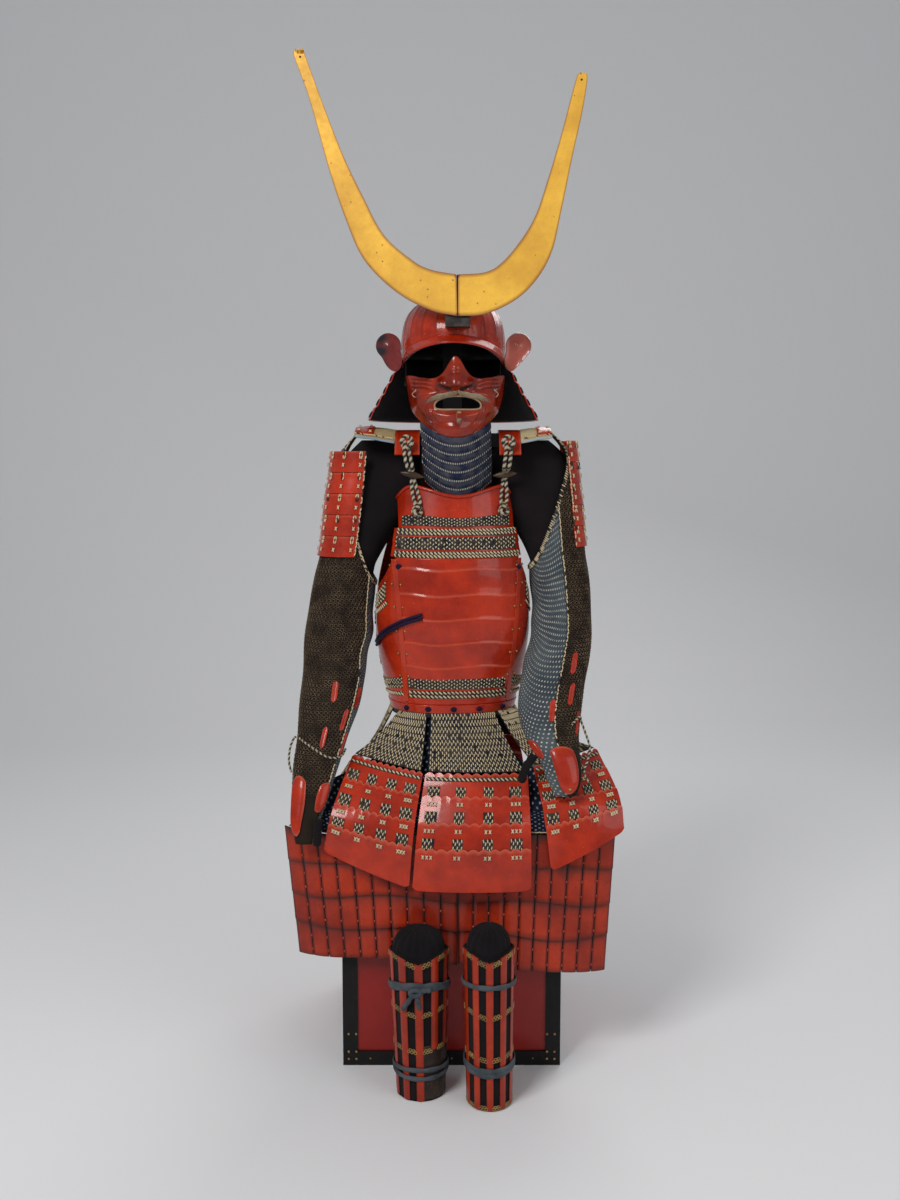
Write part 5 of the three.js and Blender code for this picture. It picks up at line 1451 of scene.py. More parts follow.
class Cords(Assembly):
    """The free cords: one at each wrist and two at the left side."""

    def build(self) -> None:
        """Makes each cord."""
        def on(side: str, out: float, *places: tuple[float, float]) -> list[Vector]:
            return [sleeve_point(side, radians(turn), z, out) for turn, z in places]
        left = on("left", 3.2, (-96, 585), (-70, 578), (-45, 576), (-20, 580), (5, 590), (30, 600), (58, 607))
        left += [Vector(p) for p in ((-289, -150, 606), (-296, -158, 588), (-297, -168, 566), (-292, -176, 548))]
        right = on("right", 5.2, (40, 640), (62, 650), (78, 640))
        right += [Vector(p) for p in ((243, -180, 620), (250, -186, 596), (245, -196, 574), (238, -206, 560),
                                      (240, -214, 548), (247, -220, 540))]
        self._cord("wrist_tie_left", "wrist_cord_left", left, 2.0, self.finishes.cord, "braid", twist=9)
        self._cord("wrist_tie_right", "wrist_cord_right", right, 2.0, self.finishes.cord, "braid", twist=9)
        for name, drop in (("upper", 0.0), ("lower", 7.2)):
            route = [torso(radians(turn), z - drop, 3.3 if turn < -60 else 5.7)
                     for turn, z in ((-86, 768), (-74, 782), (-62, 796), (-50, 808), (-38, 820), (-24, 831))]
            self._cord(f"closing_cord_{name}", f"side_cord_{name}", route, 3.0, self.finishes.purple, "purple_cord")

    @staticmethod
    def _cord(name: str, node: str, places: Sequence[Vector], radius: float, material: bpy.types.Material,
              slot: str, twist: float = 0.0) -> None:
        """Makes one cord along its places and logs its length."""
        route = smooth_route(places, max(24, round(length_of(places) / (1.5 if twist else 5))))
        piece = Piece(name)
        piece.cord(route, radius, 12, twist, (0.0, 1.0))
        made = piece.finish(material, [node], slot)
        length = length_of(route) * MM
        LOG.info("%s is %.3f m long", name, length)


BOWL_PLATES = 20
NECK_LAMES, NECK_KNOTS = 5, 22


class Helmet(Assembly):
    """The bowl, its brow, ears, neck guard and gilt crest."""

    @staticmethod
    def bowl(turn: float, level: float, out: float = 0.0) -> Vector:
        """A point on the bowl, level 0 at its crown and 1 at its rim."""
        front = max(cos(turn), 0.0) ** 1.5
        rim = 1290 + 34 * front - 4 * (1 - abs(cos(turn)))
        lift = (rim - BOWL_MIDDLE.z) * clamp((level - 0.55) / 0.45)
        angle = level * pi / 2
        spread = sin(angle) ** (2 / BOWL_POWER)
        rise = max(cos(angle), 0.0) ** (2 / BOWL_POWER)
        return Vector((BOWL_MIDDLE.x + (BOWL_HALF + out) * spread * sin(turn),
                       BOWL_MIDDLE.y - (BOWL_DEEP + out) * spread * cos(turn),
                       BOWL_MIDDLE.z + lift + (BOWL_TOP + out - BOWL_MIDDLE.z - lift) * rise))

    @staticmethod
    def core(point: Vector) -> Vector:
        """The middle of the head at a point's height."""
        return Vector((BOWL_MIDDLE.x, BOWL_MIDDLE.y, min(point.z, 1310)))

    def build(self) -> None:
        """Makes the bowl first and the crest last."""
        self._bowl()
        self._brow()
        self._neck_guard()
        for side in (-1, 1):
            self._ear(side)
        self._crest()

    def _bowl(self) -> None:
        """Makes the bowl of upright plates."""
        def at(u: float, v: float) -> Vector:
            turn = TAU * (u + 0.5)
            level = max(0.0, 1 - v)
            seam = abs((u * BOWL_PLATES) % 1 - 0.5) * 2
            step = 1.5 * clamp((seam - 0.8) / 0.2) * clamp((level - 0.12) / 0.2) * clamp((1 - level) / 0.06)
            return self.bowl(turn, level, step - 0.1)

        def grime(u: float, v: float) -> float:
            return 0.5 * bump(abs((u * BOWL_PLATES) % 1 - 0.5) * 2 - 1, 0.05) * clamp(v * 8) + 0.4 * bump(v, 0.012)
        bowl = Piece("bowl_plates")
        bowl.patch(Skin(at, self.core), 160, 32, grime, wrap=True)
        bowl.finish(self.finishes.bowl, ["helmet_bowl"], "lacquer", wall=2.8)
        lining = Piece("helmet_lining")
        lining.patch(Skin(lambda u, v: self.bowl(TAU * (u + 0.5), lerp(0.985, 0, v), -3.4), self.core),
                     60, 16, wrap=True)
        lining.patch(Skin(lambda u, v: self.bowl(TAU * lerp(0.2, 0.8, u), 1.0, -4.5)
                          + Vector((0, 0, 16 - 50 * (1 - v))), self.core), 30, 3)
        lining.finish(self.finishes.black, slot="dark_cloth", wall=0.8)
        rivets = Piece("bowl_rivets")
        skin = Skin(lambda u, v: self.bowl(TAU * (u + 0.5), 1 - v, 0.2), self.core)
        seats = [skin.seat((k + 0.25) / BOWL_PLATES, 0.06, size=(0.8, 0.8, 0.7)) for k in range(BOWL_PLATES)]
        rivets.stamp(self.lacing.stamps.rivet, seats)
        rivets.finish(self.finishes.red, slot="lacquer")

    def _brow(self) -> None:
        """Makes the brow over the eyes with its rolled edge."""
        def at(u: float, v: float) -> Vector:
            turn = radians(lerp(-68, 68, u))
            root = self.bowl(turn, 0.985, 0.9)
            front = max(cos(turn), 0.0) ** 1.5
            reach = v * 26 * (0.25 + 0.75 * front)
            return Vector((root.x + 0.25 * reach * sin(turn), root.y - reach * cos(turn * 0.8),
                           root.z - 3 + 6 * (1 - v) - 9 * v))
        skin = Skin(at, fixed(3, -40, 1230))
        brow = Piece("brow_plate")
        brow.patch(skin, 60, 12)
        brow.finish(self.finishes.red, ["helmet_brow"], "lacquer", wall=2.2)
        (Piece("brow_rim").cord([at(k / 70, 1) + Vector((0, -0.3, -0.8)) for k in range(71)], 2.1, 8)
         .finish(self.finishes.red, slot="lacquer"))

    def _neck_guard(self) -> None:
        """Makes the flaring lames behind the head, black inside."""
        def shell(u: float, v: float, out: float) -> Vector:
            turn = radians(lerp(74, 286, u))
            spread = 61 * v ** 1.15 + out
            return Vector((3 + (98.4 + spread) * sin(turn),
                           -10 - (123.4 + spread) * cos(turn), 1299 - 112 * v))

        def lame(u: float, v: float) -> Vector:
            share = 0.0 if v <= 0 else (1.0 if v >= 1 else (v * NECK_LAMES) % 1)
            return shell(u, v, 2.1 + 3.4 * (1 - share))
        skin = Skin(lame, fixed(3, -10, 1250))
        (Piece("neck_guard_lames").patch(skin, 72, 40, lambda u, v: 0.4 * bump((v * NECK_LAMES) % 1 - 0.02, 0.05))
         .finish(self.finishes.red, ["neck_guard"], "lacquer", wall=1.4))
        inside = Piece("neck_guard_inside")
        inside.patch(Skin(lambda u, v: shell(lerp(0.012, 0.988, u), lerp(0.01, 0.985, v), 0.4),
                          fixed(3, -10, 1250)), 60, 12)
        inside.finish(self.finishes.arm_cloth, slot="dark_cloth", wall=1.2)
        knots = Piece("neck_guard_knots")
        for k in range(NECK_LAMES):
            v = (k + 0.55) / NECK_LAMES
            for u in (0.011, 0.989):
                knots.stamp(self.lacing.stamps.cell, [skin.seat(u, v, 0, 0.5, (1.5, 1.9, 1.2))])
            for col in range(NECK_KNOTS):
                u = 0.05 + 0.9 * (col + 0.5) / NECK_KNOTS
                knots.stamp(self.lacing.stamps.cell, [skin.seat(u + way * 0.004, v, -8 * way, 0.6, (0.6, 1.7, 0.6))
                                                      for way in (-1, 1)])
        knots.finish(self.finishes.purple, slot="purple_cord")

    def _ear(self, side: int) -> None:
        """Makes one leaf-shaped ear."""
        x, tip_x = (-117, -101) if side < 0 else (124, 107)
        lean = atan2(tip_x - x, 1276 - 1323)

        def at(u: float, v: float) -> Vector:
            turn = TAU * u
            off = (turn - lean + pi) % TAU - pi
            reach = 23 + 26 * max(0.0, cos(off)) ** 7
            top = abs((turn % TAU) - pi)
            notch = 5.5 * bump(top - 0.05, 0.14) if side > 0 else 0
            r = (reach - notch) * v
            hollow = 2.6 * sin(v * pi) * (1 if side > 0 else 0.6)
            return Vector((x + r * sin(turn), -52.6 + hollow + 1.2 * v, 1323 + r * cos(turn)))

        def marks(u: float, v: float) -> float:
            if side > 0:
                return 0.25 * bump(v - 0.96, 0.06)
            point = at(u, v)
            return clamp(1.3 * bump((point.x + 132) / 14, 1.0) * (0.7 + 0.3 * sin(point.z / 4.0)))
        word = "left" if side < 0 else "right"
        ear = Piece(f"helmet_ear_{word}")
        ear.patch(Skin(at, behind), 60, 14, marks, wrap=True)
        material = self.finishes.ear if side > 0 else self.finishes.ear_dark
        ear.finish(material, [f"ear_{word}"], "lacquer", wall=3.0, bevel=0.8)

    def _crest(self) -> None:
        """Makes the two gilt halves of the crest and their small holes."""
        for word, table, hole in (("left", CREST_LEFT, (-262, 1806)), ("right", CREST_RIGHT, (225, 1768))):
            rows = tuple((k, *row) for k, row in enumerate(table))
            low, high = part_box(f"crest_{word}")
            front, thick = low[1] / MM, (high[1] - low[1]) / MM

            def at(u: float, v: float, rows: Table = rows, front: float = front) -> Vector:
                k = v * (len(rows) - 1)
                outer = Vector((read(rows, 1, k), front, read(rows, 2, k)))
                inner = Vector((read(rows, 3, k), front, read(rows, 4, k)))
                return outer.lerp(inner, u)
            (Piece(f"crest_half_{word}")
             .patch(Skin(at, behind), 10, 96, lambda u, v: 0.9 * bump(edge_of(u), 0.012) + 0.7 * bump(v, 0.002))
             .finish(self.finishes.gold, [f"crest_{word}"], "gold_leaf", wall=thick, bevel=0.7))
            if word == "left":
                seam = Piece("crest_seam")
                seam.patch(Skin(lambda u, v, back=front + thick: Vector((
                    lerp(8.5, 13, u), back + 0.3, lerp(1366, 1438, v))), behind), 1, 8)
                seam.finish(self.finishes.black, slot="iron", wall=0.8)
            pin = Piece(f"crest_hole_{word}")
            seat = Matrix.Translation((hole[0], front, hole[1])) @ Matrix.Rotation(pi / 2, 4, "X")
            pin.stamp(self.lacing.stamps.rivet, [seat @ Matrix.Diagonal((0.9, 0.9, 0.25, 1))])
            pin.finish(self.finishes.black, slot="iron")


MOUTH_X, MOUTH_Z, MOUTH_HALF, MOUTH_HIGH = 11, 1213, 42, 12
MASK_REACH = radians(78)
MOUSTACHE_HAIRS, TUFT_HAIRS = 420, 26
THROAT_ROWS, THROAT_STITCHES = 7, 38


class FaceMask(Assembly):
    """The lacquered mask with its bristles, and the throat guard under it."""

    @staticmethod
    def point(a: float, z: float, out: float = 0.0) -> Vector:
        """A point on the mask's plain form, a from -1 to 1 across it."""
        half = read(MASK_SECTIONS, 1, z) + out
        deep = read(MASK_SECTIONS, 2, z) + out
        turn = MASK_REACH * a
        return Vector((7 + half * sin(turn), -46 - deep * cos(turn), z))

    @staticmethod
    def foot(a: float) -> float:
        """The height of the mask's lower edge."""
        return 1154 + 50 * abs(a) ** 2.1

    @staticmethod
    def relief(a: float, z: float) -> float:
        """How far the features stand out of the plain form."""
        side = abs(a)
        nose = bump(z - 1248, 32 if z > 1248 else 9)
        high = 22 * bump(a, lerp(0.2, 0.13, clamp((z - 1244) / 34))) * nose + 9 * bump(a, 0.3) * bump(z - 1168, 15)
        high += 7 * bump(side - 0.5, 0.2) * bump(z - 1240, 22) + 9 * bump(a, 0.13) * clamp((z - 1250) / 30)
        high += 6 * bump(hypot(a * 86 / 50, (z - MOUTH_Z) / 22) - 1, 0.3)
        high += 10 * bump(side - 0.2, 0.065) * bump(z - 1249, 9) + 5 * bump(a, 0.09) * bump(z - 1248, 12)
        high -= 6 * FaceMask.nostril(a, z)
        for k in range(3):
            high -= 2.8 * FaceMask.crease(side, z, k, 2.0)
            curve = side - (0.40 + 0.055 * k - 0.00018 * (z - 1196) ** 2)
            high -= 2.4 * bump(curve, 0.016) * clamp((z - 1176) / 8) * clamp((1212 - z) / 8)
            if k < 2:
                high -= 2.0 * bump(z - 1268 - 6 * k - 20 * side, 1.6) * bump(side, 0.14)
        high -= 2.2 * bump(a, 0.025) * bump(z - 1226, 8)
        return high

    @staticmethod
    def crease(side: float, z: float, number: int, width: float) -> float:
        """How deep a place lies in one of the cheek's creases, 0 to 1."""
        line = z - (1243 + 7.5 * number + 40 * (side - 0.6) ** 2 - 8 * bump(side - 0.3, 0.12))
        return bump(line, width) * clamp((side - 0.32) / 0.1) * clamp((0.8 - side) / 0.1)

    @staticmethod
    def nostril(a: float, z: float) -> float:
        """How deep a place lies in the nostrils, 0 to 1."""
        side = abs(a)
        line = z - (1238.5 + 8.5 * clamp((side - 0.05) / 0.17) ** 1.4)
        return clamp(1.3 - abs(line) / 3.6) * clamp((side - 0.045) / 0.02) * clamp((0.235 - side) / 0.02)

    def shade(self, u: float, v: float) -> float:
        """The mask's tone: painted shade in the nostrils, the cheek creases and along the sides of the nose, and darker
        edges.
        """
        a = 2 * u - 1
        z = self.at(u, v).z
        side = abs(a)
        dark = 0.3 * bump(v - 1, 0.015) + 0.3 * bump(edge_of(u), 0.012) + self.nostril(a, z)
        for k in range(3):
            dark += 0.5 * self.crease(side, z, k, 1.3)
        dark += 0.35 * bump(side - 0.245 - 0.0025 * (1244 - z), 0.02) * clamp((1256 - z) / 8) * clamp((z - 1226) / 8)
        return clamp(dark)

    def at(self, u: float, v: float, out: float = 0.0) -> Vector:
        """A point on the finished mask."""
        a = 2 * u - 1
        top = 1267 + 32 * bump(a, 0.13) - 8 * bump(abs(a) - 0.4, 0.24)
        z = lerp(self.foot(a), top, v)
        return self.point(a, z, out + self.relief(a, z))

    def build(self) -> None:
        """Makes the mask, what is set in it, and the throat guard."""
        mask = Piece("mask_shell")
        mask.patch(Skin(self.at, fixed(7, -46, 1220)), 140, 116, self.shade)
        self._cut_mouth(mask)
        mask.finish(self.finishes.face, ["mask"], "lacquer", wall=2.4)
        inside = Piece("mask_inside")
        inside.patch(Skin(lambda u, v: self.at(u, v, -2.7), fixed(7, -46, 1220)), 56, 44)
        self._cut_mouth(inside)
        inside.finish(self.finishes.black, slot="iron", wall=0.6)
        self._mouth()
        self._bristles()
        self._hooks()
        self._throat()

    @staticmethod
    def _cut_mouth(piece: Piece) -> None:
        """Takes the faces in the mouth's opening out of a piece."""
        def opening(point: Vector) -> bool:
            x, z = point.x - MOUTH_X, point.z - MOUTH_Z
            z += 5 * (x / MOUTH_HALF) ** 2 - 2.5
            return point.y < -60 and abs(x / MOUTH_HALF) ** 2.5 + abs(z / MOUTH_HIGH) ** 2.5 < 1
        gap = [face for face in piece.bm.faces if opening(face.calc_center_median())]
        bmesh.ops.delete(piece.bm, geom=gap, context="FACES")

    def _surface(self, x: float, z: float, out: float) -> Vector:
        """The point of the mask in front of a place."""
        low, high = -1.0, 1.0
        for _ in range(24):
            middle = (low + high) / 2
            if self.point(middle, z, out + self.relief(middle, z)).x < x:
                low = middle
            else:
                high = middle
        return self.point(low, z, out + self.relief(low, z))

    def _mouth(self) -> None:
        """Makes the pale rim round the mouth."""
        line = []
        for turn in loop_turns(72):
            x = MOUTH_HALF * power(cos(turn), 0.8)
            z = MOUTH_HIGH * power(sin(turn), 0.8) - 5 * cos(turn) ** 2 + 2.5
            line.append(self._surface(MOUTH_X + x, MOUTH_Z + z, -0.4))
        rim = Piece("mouth_rim")
        rim.cord(line, 1.7, 8)
        rim.finish(self.finishes.rim, slot="brocade")

    def _bristles(self) -> None:
        """Makes the moustache and the tuft under the mouth."""
        dice = random.Random(11)
        hairs = Piece("bristles")
        for _ in range(MOUSTACHE_HAIRS):
            x = dice.uniform(-1, 1)
            way = 1 if x > 0 else -1
            base = self._surface(MOUTH_X + x * 38, 1231 + 3 * (1 - abs(x)) + dice.uniform(-2.5, 3) - 3 * abs(x), 0.2)
            length = dice.uniform(12, 23)
            spread = 0.3 + 0.7 * abs(x)
            side = Vector((way * length * spread, -3.0, -length * (0.12 + 0.3 * abs(x)) - dice.uniform(0.5, 3.5)))
            tip = base + side
            on = self._surface(tip.x, tip.z, dice.uniform(1.0, 3.4))
            line = smooth_route([base, base.lerp(on, 0.5) + Vector((0, -1.6, 1.0)), on], 5)
            hairs.cord(line, 0.5, 3, 0.0, (dice.random() * 0.5, 0.0), lambda v: 1 - 0.7 * v)
        for _ in range(TUFT_HAIRS):
            base = self._surface(13 + dice.uniform(-3.5, 3.5), 1199 + dice.uniform(-1, 2), 0.2)
            tip = base + Vector((dice.uniform(-1.5, 1.5), -1.0, -dice.uniform(12, 24)))
            on = self._surface(tip.x, tip.z, 1.6)
            hairs.cord([base, base.lerp(on, 0.5) + Vector((0, -1.5, 0)), on], 0.45, 3, 0.0,
                       (dice.random() * 0.5, 0.0), lambda v: 1 - 0.6 * v)
        hairs.finish(self.finishes.bristle, slot="brocade")

    def _hooks(self) -> None:
        """Makes the wire hooks on the cheeks."""
        hooks = Piece("mask_hooks")
        for way, x in ((-1, -66), (1, 79)):
            base = self._surface(x, 1226, -0.5)
            bend = self._surface(x + way * 6, 1232, 5.0)
            end = self._surface(x - way * 1.5, 1239, 4.0)
            hooks.cord(smooth_route([base, bend, end], 8), 0.85, 7)
        hooks.finish(self.finishes.pale_wire, slot="iron")

    def _throat(self) -> None:
        """Makes the rows of close navy lacing with their white stitches."""
        def line(u: float, v: float, out: float) -> Vector:
            a = lerp(-0.78, 0.78, u)
            top = self.foot(a)
            z = lerp(top - 0.5, 1042 + 34 * abs(a / 0.78) ** 2, v)
            edge = self.point(a, top, -1.3 + self.relief(a, top))
            return Vector((7 + (edge.x - 7) * (1 - 0.02 * v) + 5 * v + out * sin(a),
                           edge.y + 38 * v ** 1.3 - out * cos(a), z))

        def rolled(u: float, v: float) -> Vector:
            share = (v * THROAT_ROWS) % 1
            return line(u, v, 0.6 + 2.4 * sqrt(max(0.0, 1 - (2 * share - 1) ** 2)))
        guard = Piece("throat_guard_rows")
        guard.patch(Skin(rolled, upright(8, -20)), 64, 56, 1.0)
        guard.finish(self.finishes.navy, ["throat_guard"], "navy_lacing", wall=2.4)
        skin = Skin(lambda u, v: line(u, v, 2.2), upright(8, -20))
        laces = Piece("throat_lacing")
        dashes = Piece("throat_stitches")
        for row in range(THROAT_ROWS):
            for k in range(THROAT_STITCHES):
                u = 0.015 + 0.97 * (k + 0.5) / THROAT_STITCHES
                middle, low = (row + 0.5) / THROAT_ROWS, (row + 0.96) / THROAT_ROWS
                laces.stamp(self.lacing.stamps.cell, [skin.seat(u, middle, 16, 1.0, (0.95, 1.25, 0.6))])
                dashes.stamp(self.lacing.stamps.dot, [skin.seat(u, clamp(low), 0, 0.9, (0.95, 1.45, 1.1))])
        laces.finish(self.finishes.navy, slot="navy_lacing")
        dashes.finish(self.finishes.navy, slot="navy_lacing")


class Shoulders(Assembly):
    """The straps, the wings over the shoulders and the toggles that close them."""

    def build(self) -> None:
        """Makes both sides."""
        for side, span, reach, rise, toggle in (
            ("left", (-105, -59), (-105.4, -180), 14, (-82, -73, -63, -12)),
            ("right", (88, 128), (128.4, 186), 12, (104, 99, 97, 6)),
        ):
            self._strap(side, span)
            self._wing(side, reach, rise)
            self._toggle(side, toggle)

    def _strap(self, side: str, span: tuple[float, float]) -> None:
        """Makes one strap."""
        def at(u: float, v: float) -> Vector:
            y = lerp(-93, 86, v)
            return Vector((lerp(*span, u), y, arch(y)))
        skin = Skin(at, lambda p: p - Vector((0, -p.y * 0.5, 100)))
        strap = Piece(f"strap_{side}")
        strap.patch(skin, 10, 48, lambda u, v: 0.5 * bump(edge_of(u), 0.04))
        strap.finish(self.finishes.red, [f"shoulder_strap_{side}"], "lacquer", wall=4.0, bevel=1.0)

    def _wing(self, side: str, reach: tuple[float, float], rise: float) -> None:
        """Makes one brocade wing, its lining and the red tile on it."""
        dice = random.Random(5)
        phase = dice.random() * 6

        def at(u: float, v: float, lift: float = 0.0) -> Vector:
            y = lerp(-74, 46, v)
            high = rise * u - 10 * u * u * cos((2 * v - 1) * 1.3)
            crumple = 1.3 * sin(7 * u + 13 * v + phase) * sin(9 * v + 4 * u) * u * (1 - v)
            return Vector((lerp(*reach, u), y, arch(y) + high + crumple + lift))
        under = Skin(lambda u, v: at(u, v, -3.0), lambda p: p + Vector((0, 0, 60)))
        over = Skin(at, beneath)
        wing = Piece(f"wing_{side}")
        wing.patch(over, 22, 30)
        wing.finish(self.finishes.brocade, [f"shoulder_wing_{side}"], "brocade", wall=1.4, bevel=0.4)
        lining = Piece(f"wing_lining_{side}")
        lining.patch(under, 16, 22)
        lining.cord([at(k / 40, 0, -2.0) + Vector((0, -1.5, 0)) for k in range(41)], 2.2, 8)
        lining.finish(self.finishes.lining, slot="blue_cloth", wall=1.0)
        tile = Piece(f"wing_tile_{side}")
        plate = Skin(lambda u, v: at(lerp(0.52, 0.99, u), lerp(0.03, 0.5, v), 2.6), beneath)
        tile.patch(plate, 10, 14)
        tile.finish(self.finishes.red, slot="lacquer", wall=1.6, bevel=0.5)
        knots = Piece(f"wing_knots_{side}")
        for u, v in ((0.2, 0.12), (0.8, 0.12), (0.2, 0.88), (0.8, 0.88)):
            self.lacing.cross(knots, plate, u, v, 1.2)
        self.lacing.row(knots, Skin(lambda u, v: at(lerp(0.05, 0.99, u), 0.02 + 0.02 * v, 0.6),
                                    beneath), 0.5, (0.0, 1.0), 3.2, Slant.ROPE, 0.9)
        knots.finish(self.finishes.braid, slot="braid")

    def _toggle(self, side: str, places: Sequence[float]) -> None:
        """Makes one toggle: its doubled cord, its wooden almond and the knot below."""
        top, middle, bottom, tilt = places
        front = front_of(middle, 1086)
        knot = Vector((bottom, front_of(bottom, 1020) - 8.5, 1020))
        line = [Vector(p) for p in (
            (top, -97, 1148), (top, -98.5, 1126), (lerp(top, middle, 0.6), -101, 1101), (middle, front - 15, 1086),
            (lerp(middle, bottom, 0.55), front_of(middle, 1056) - 9.1, 1054),
            (bottom, front_of(bottom, 1036) - 7, 1036), (knot.x, knot.y + 1, 1027))]
        strands = Piece(f"toggle_cords_{side}")
        for shift in (-4.6, 4.6):
            shares = (0.8, 1.0, 1.0, 0.35, 1.1, 1.1, 0.6)
            route = [spot + Vector((shift * share, 0, 0)) for spot, share in zip(line, shares)]
            strands.cord(smooth_route(route, 84), 3.4, 10, 11, (0.0, 1.0))
        loop = [Vector((top + 9.5 * sin(a), -97.5 + 3 * sin(a * 2), 1146 + 10 * cos(a)))
                for a in loop_turns(40)]
        strands.cord(loop, 3.6, 10, 11, (0.0, 1.0))
        strands.finish(self.finishes.cord, [f"toggle_{side}"], "braid")
        ball = Piece(f"toggle_knot_{side}")
        for lean in (0, 60, 120):
            turned = Matrix.Rotation(radians(lean), 3, "Y")
            ring = [knot + turned @ Vector((8.2 * cos(a), 4.5 * sin(a) - 1, 5.5 * sin(a)))
                    for a in loop_turns(28)]
            ball.cord(ring, 3.2, 9, 9, (0.0, 1.0))
        ball.finish(self.finishes.cord, slot="braid")
        rings = Piece(f"toggle_ring_{side}")
        seat = Matrix.Translation(knot + Vector((0, 2, 9))) @ Matrix.Rotation(radians(80), 4, "X")
        rings.stamp(self.lacing.stamps.small_ring, [seat @ Matrix.Diagonal((2.2, 2.2, 2, 1))])
        rings.finish(self.finishes.brass, slot="iron")
        lean = Matrix.Rotation(radians(-tilt), 3, "Y")

        def almond(u: float, v: float) -> Vector:
            along = (v - 0.5) * 46
            size = 6.5 * sin(clamp(v, 0.004, 0.996) * pi) ** 0.8
            spot = Vector((along, size * sin(TAU * u) * 0.8, size * cos(TAU * u)))
            return lean @ spot + Vector((middle, front - 20, 1086))
        wood = Piece(f"toggle_wood_{side}")
        wood.patch(Skin(almond, lambda p: Vector((p.x, front - 20, 1086))), 16, 20, wrap=True, caps=True)
        wood.finish(self.finishes.wood, slot="post_wood")


MAIL_TOP = 1150
MAIL_ROW, MAIL_STEP = 7.6, 8.2


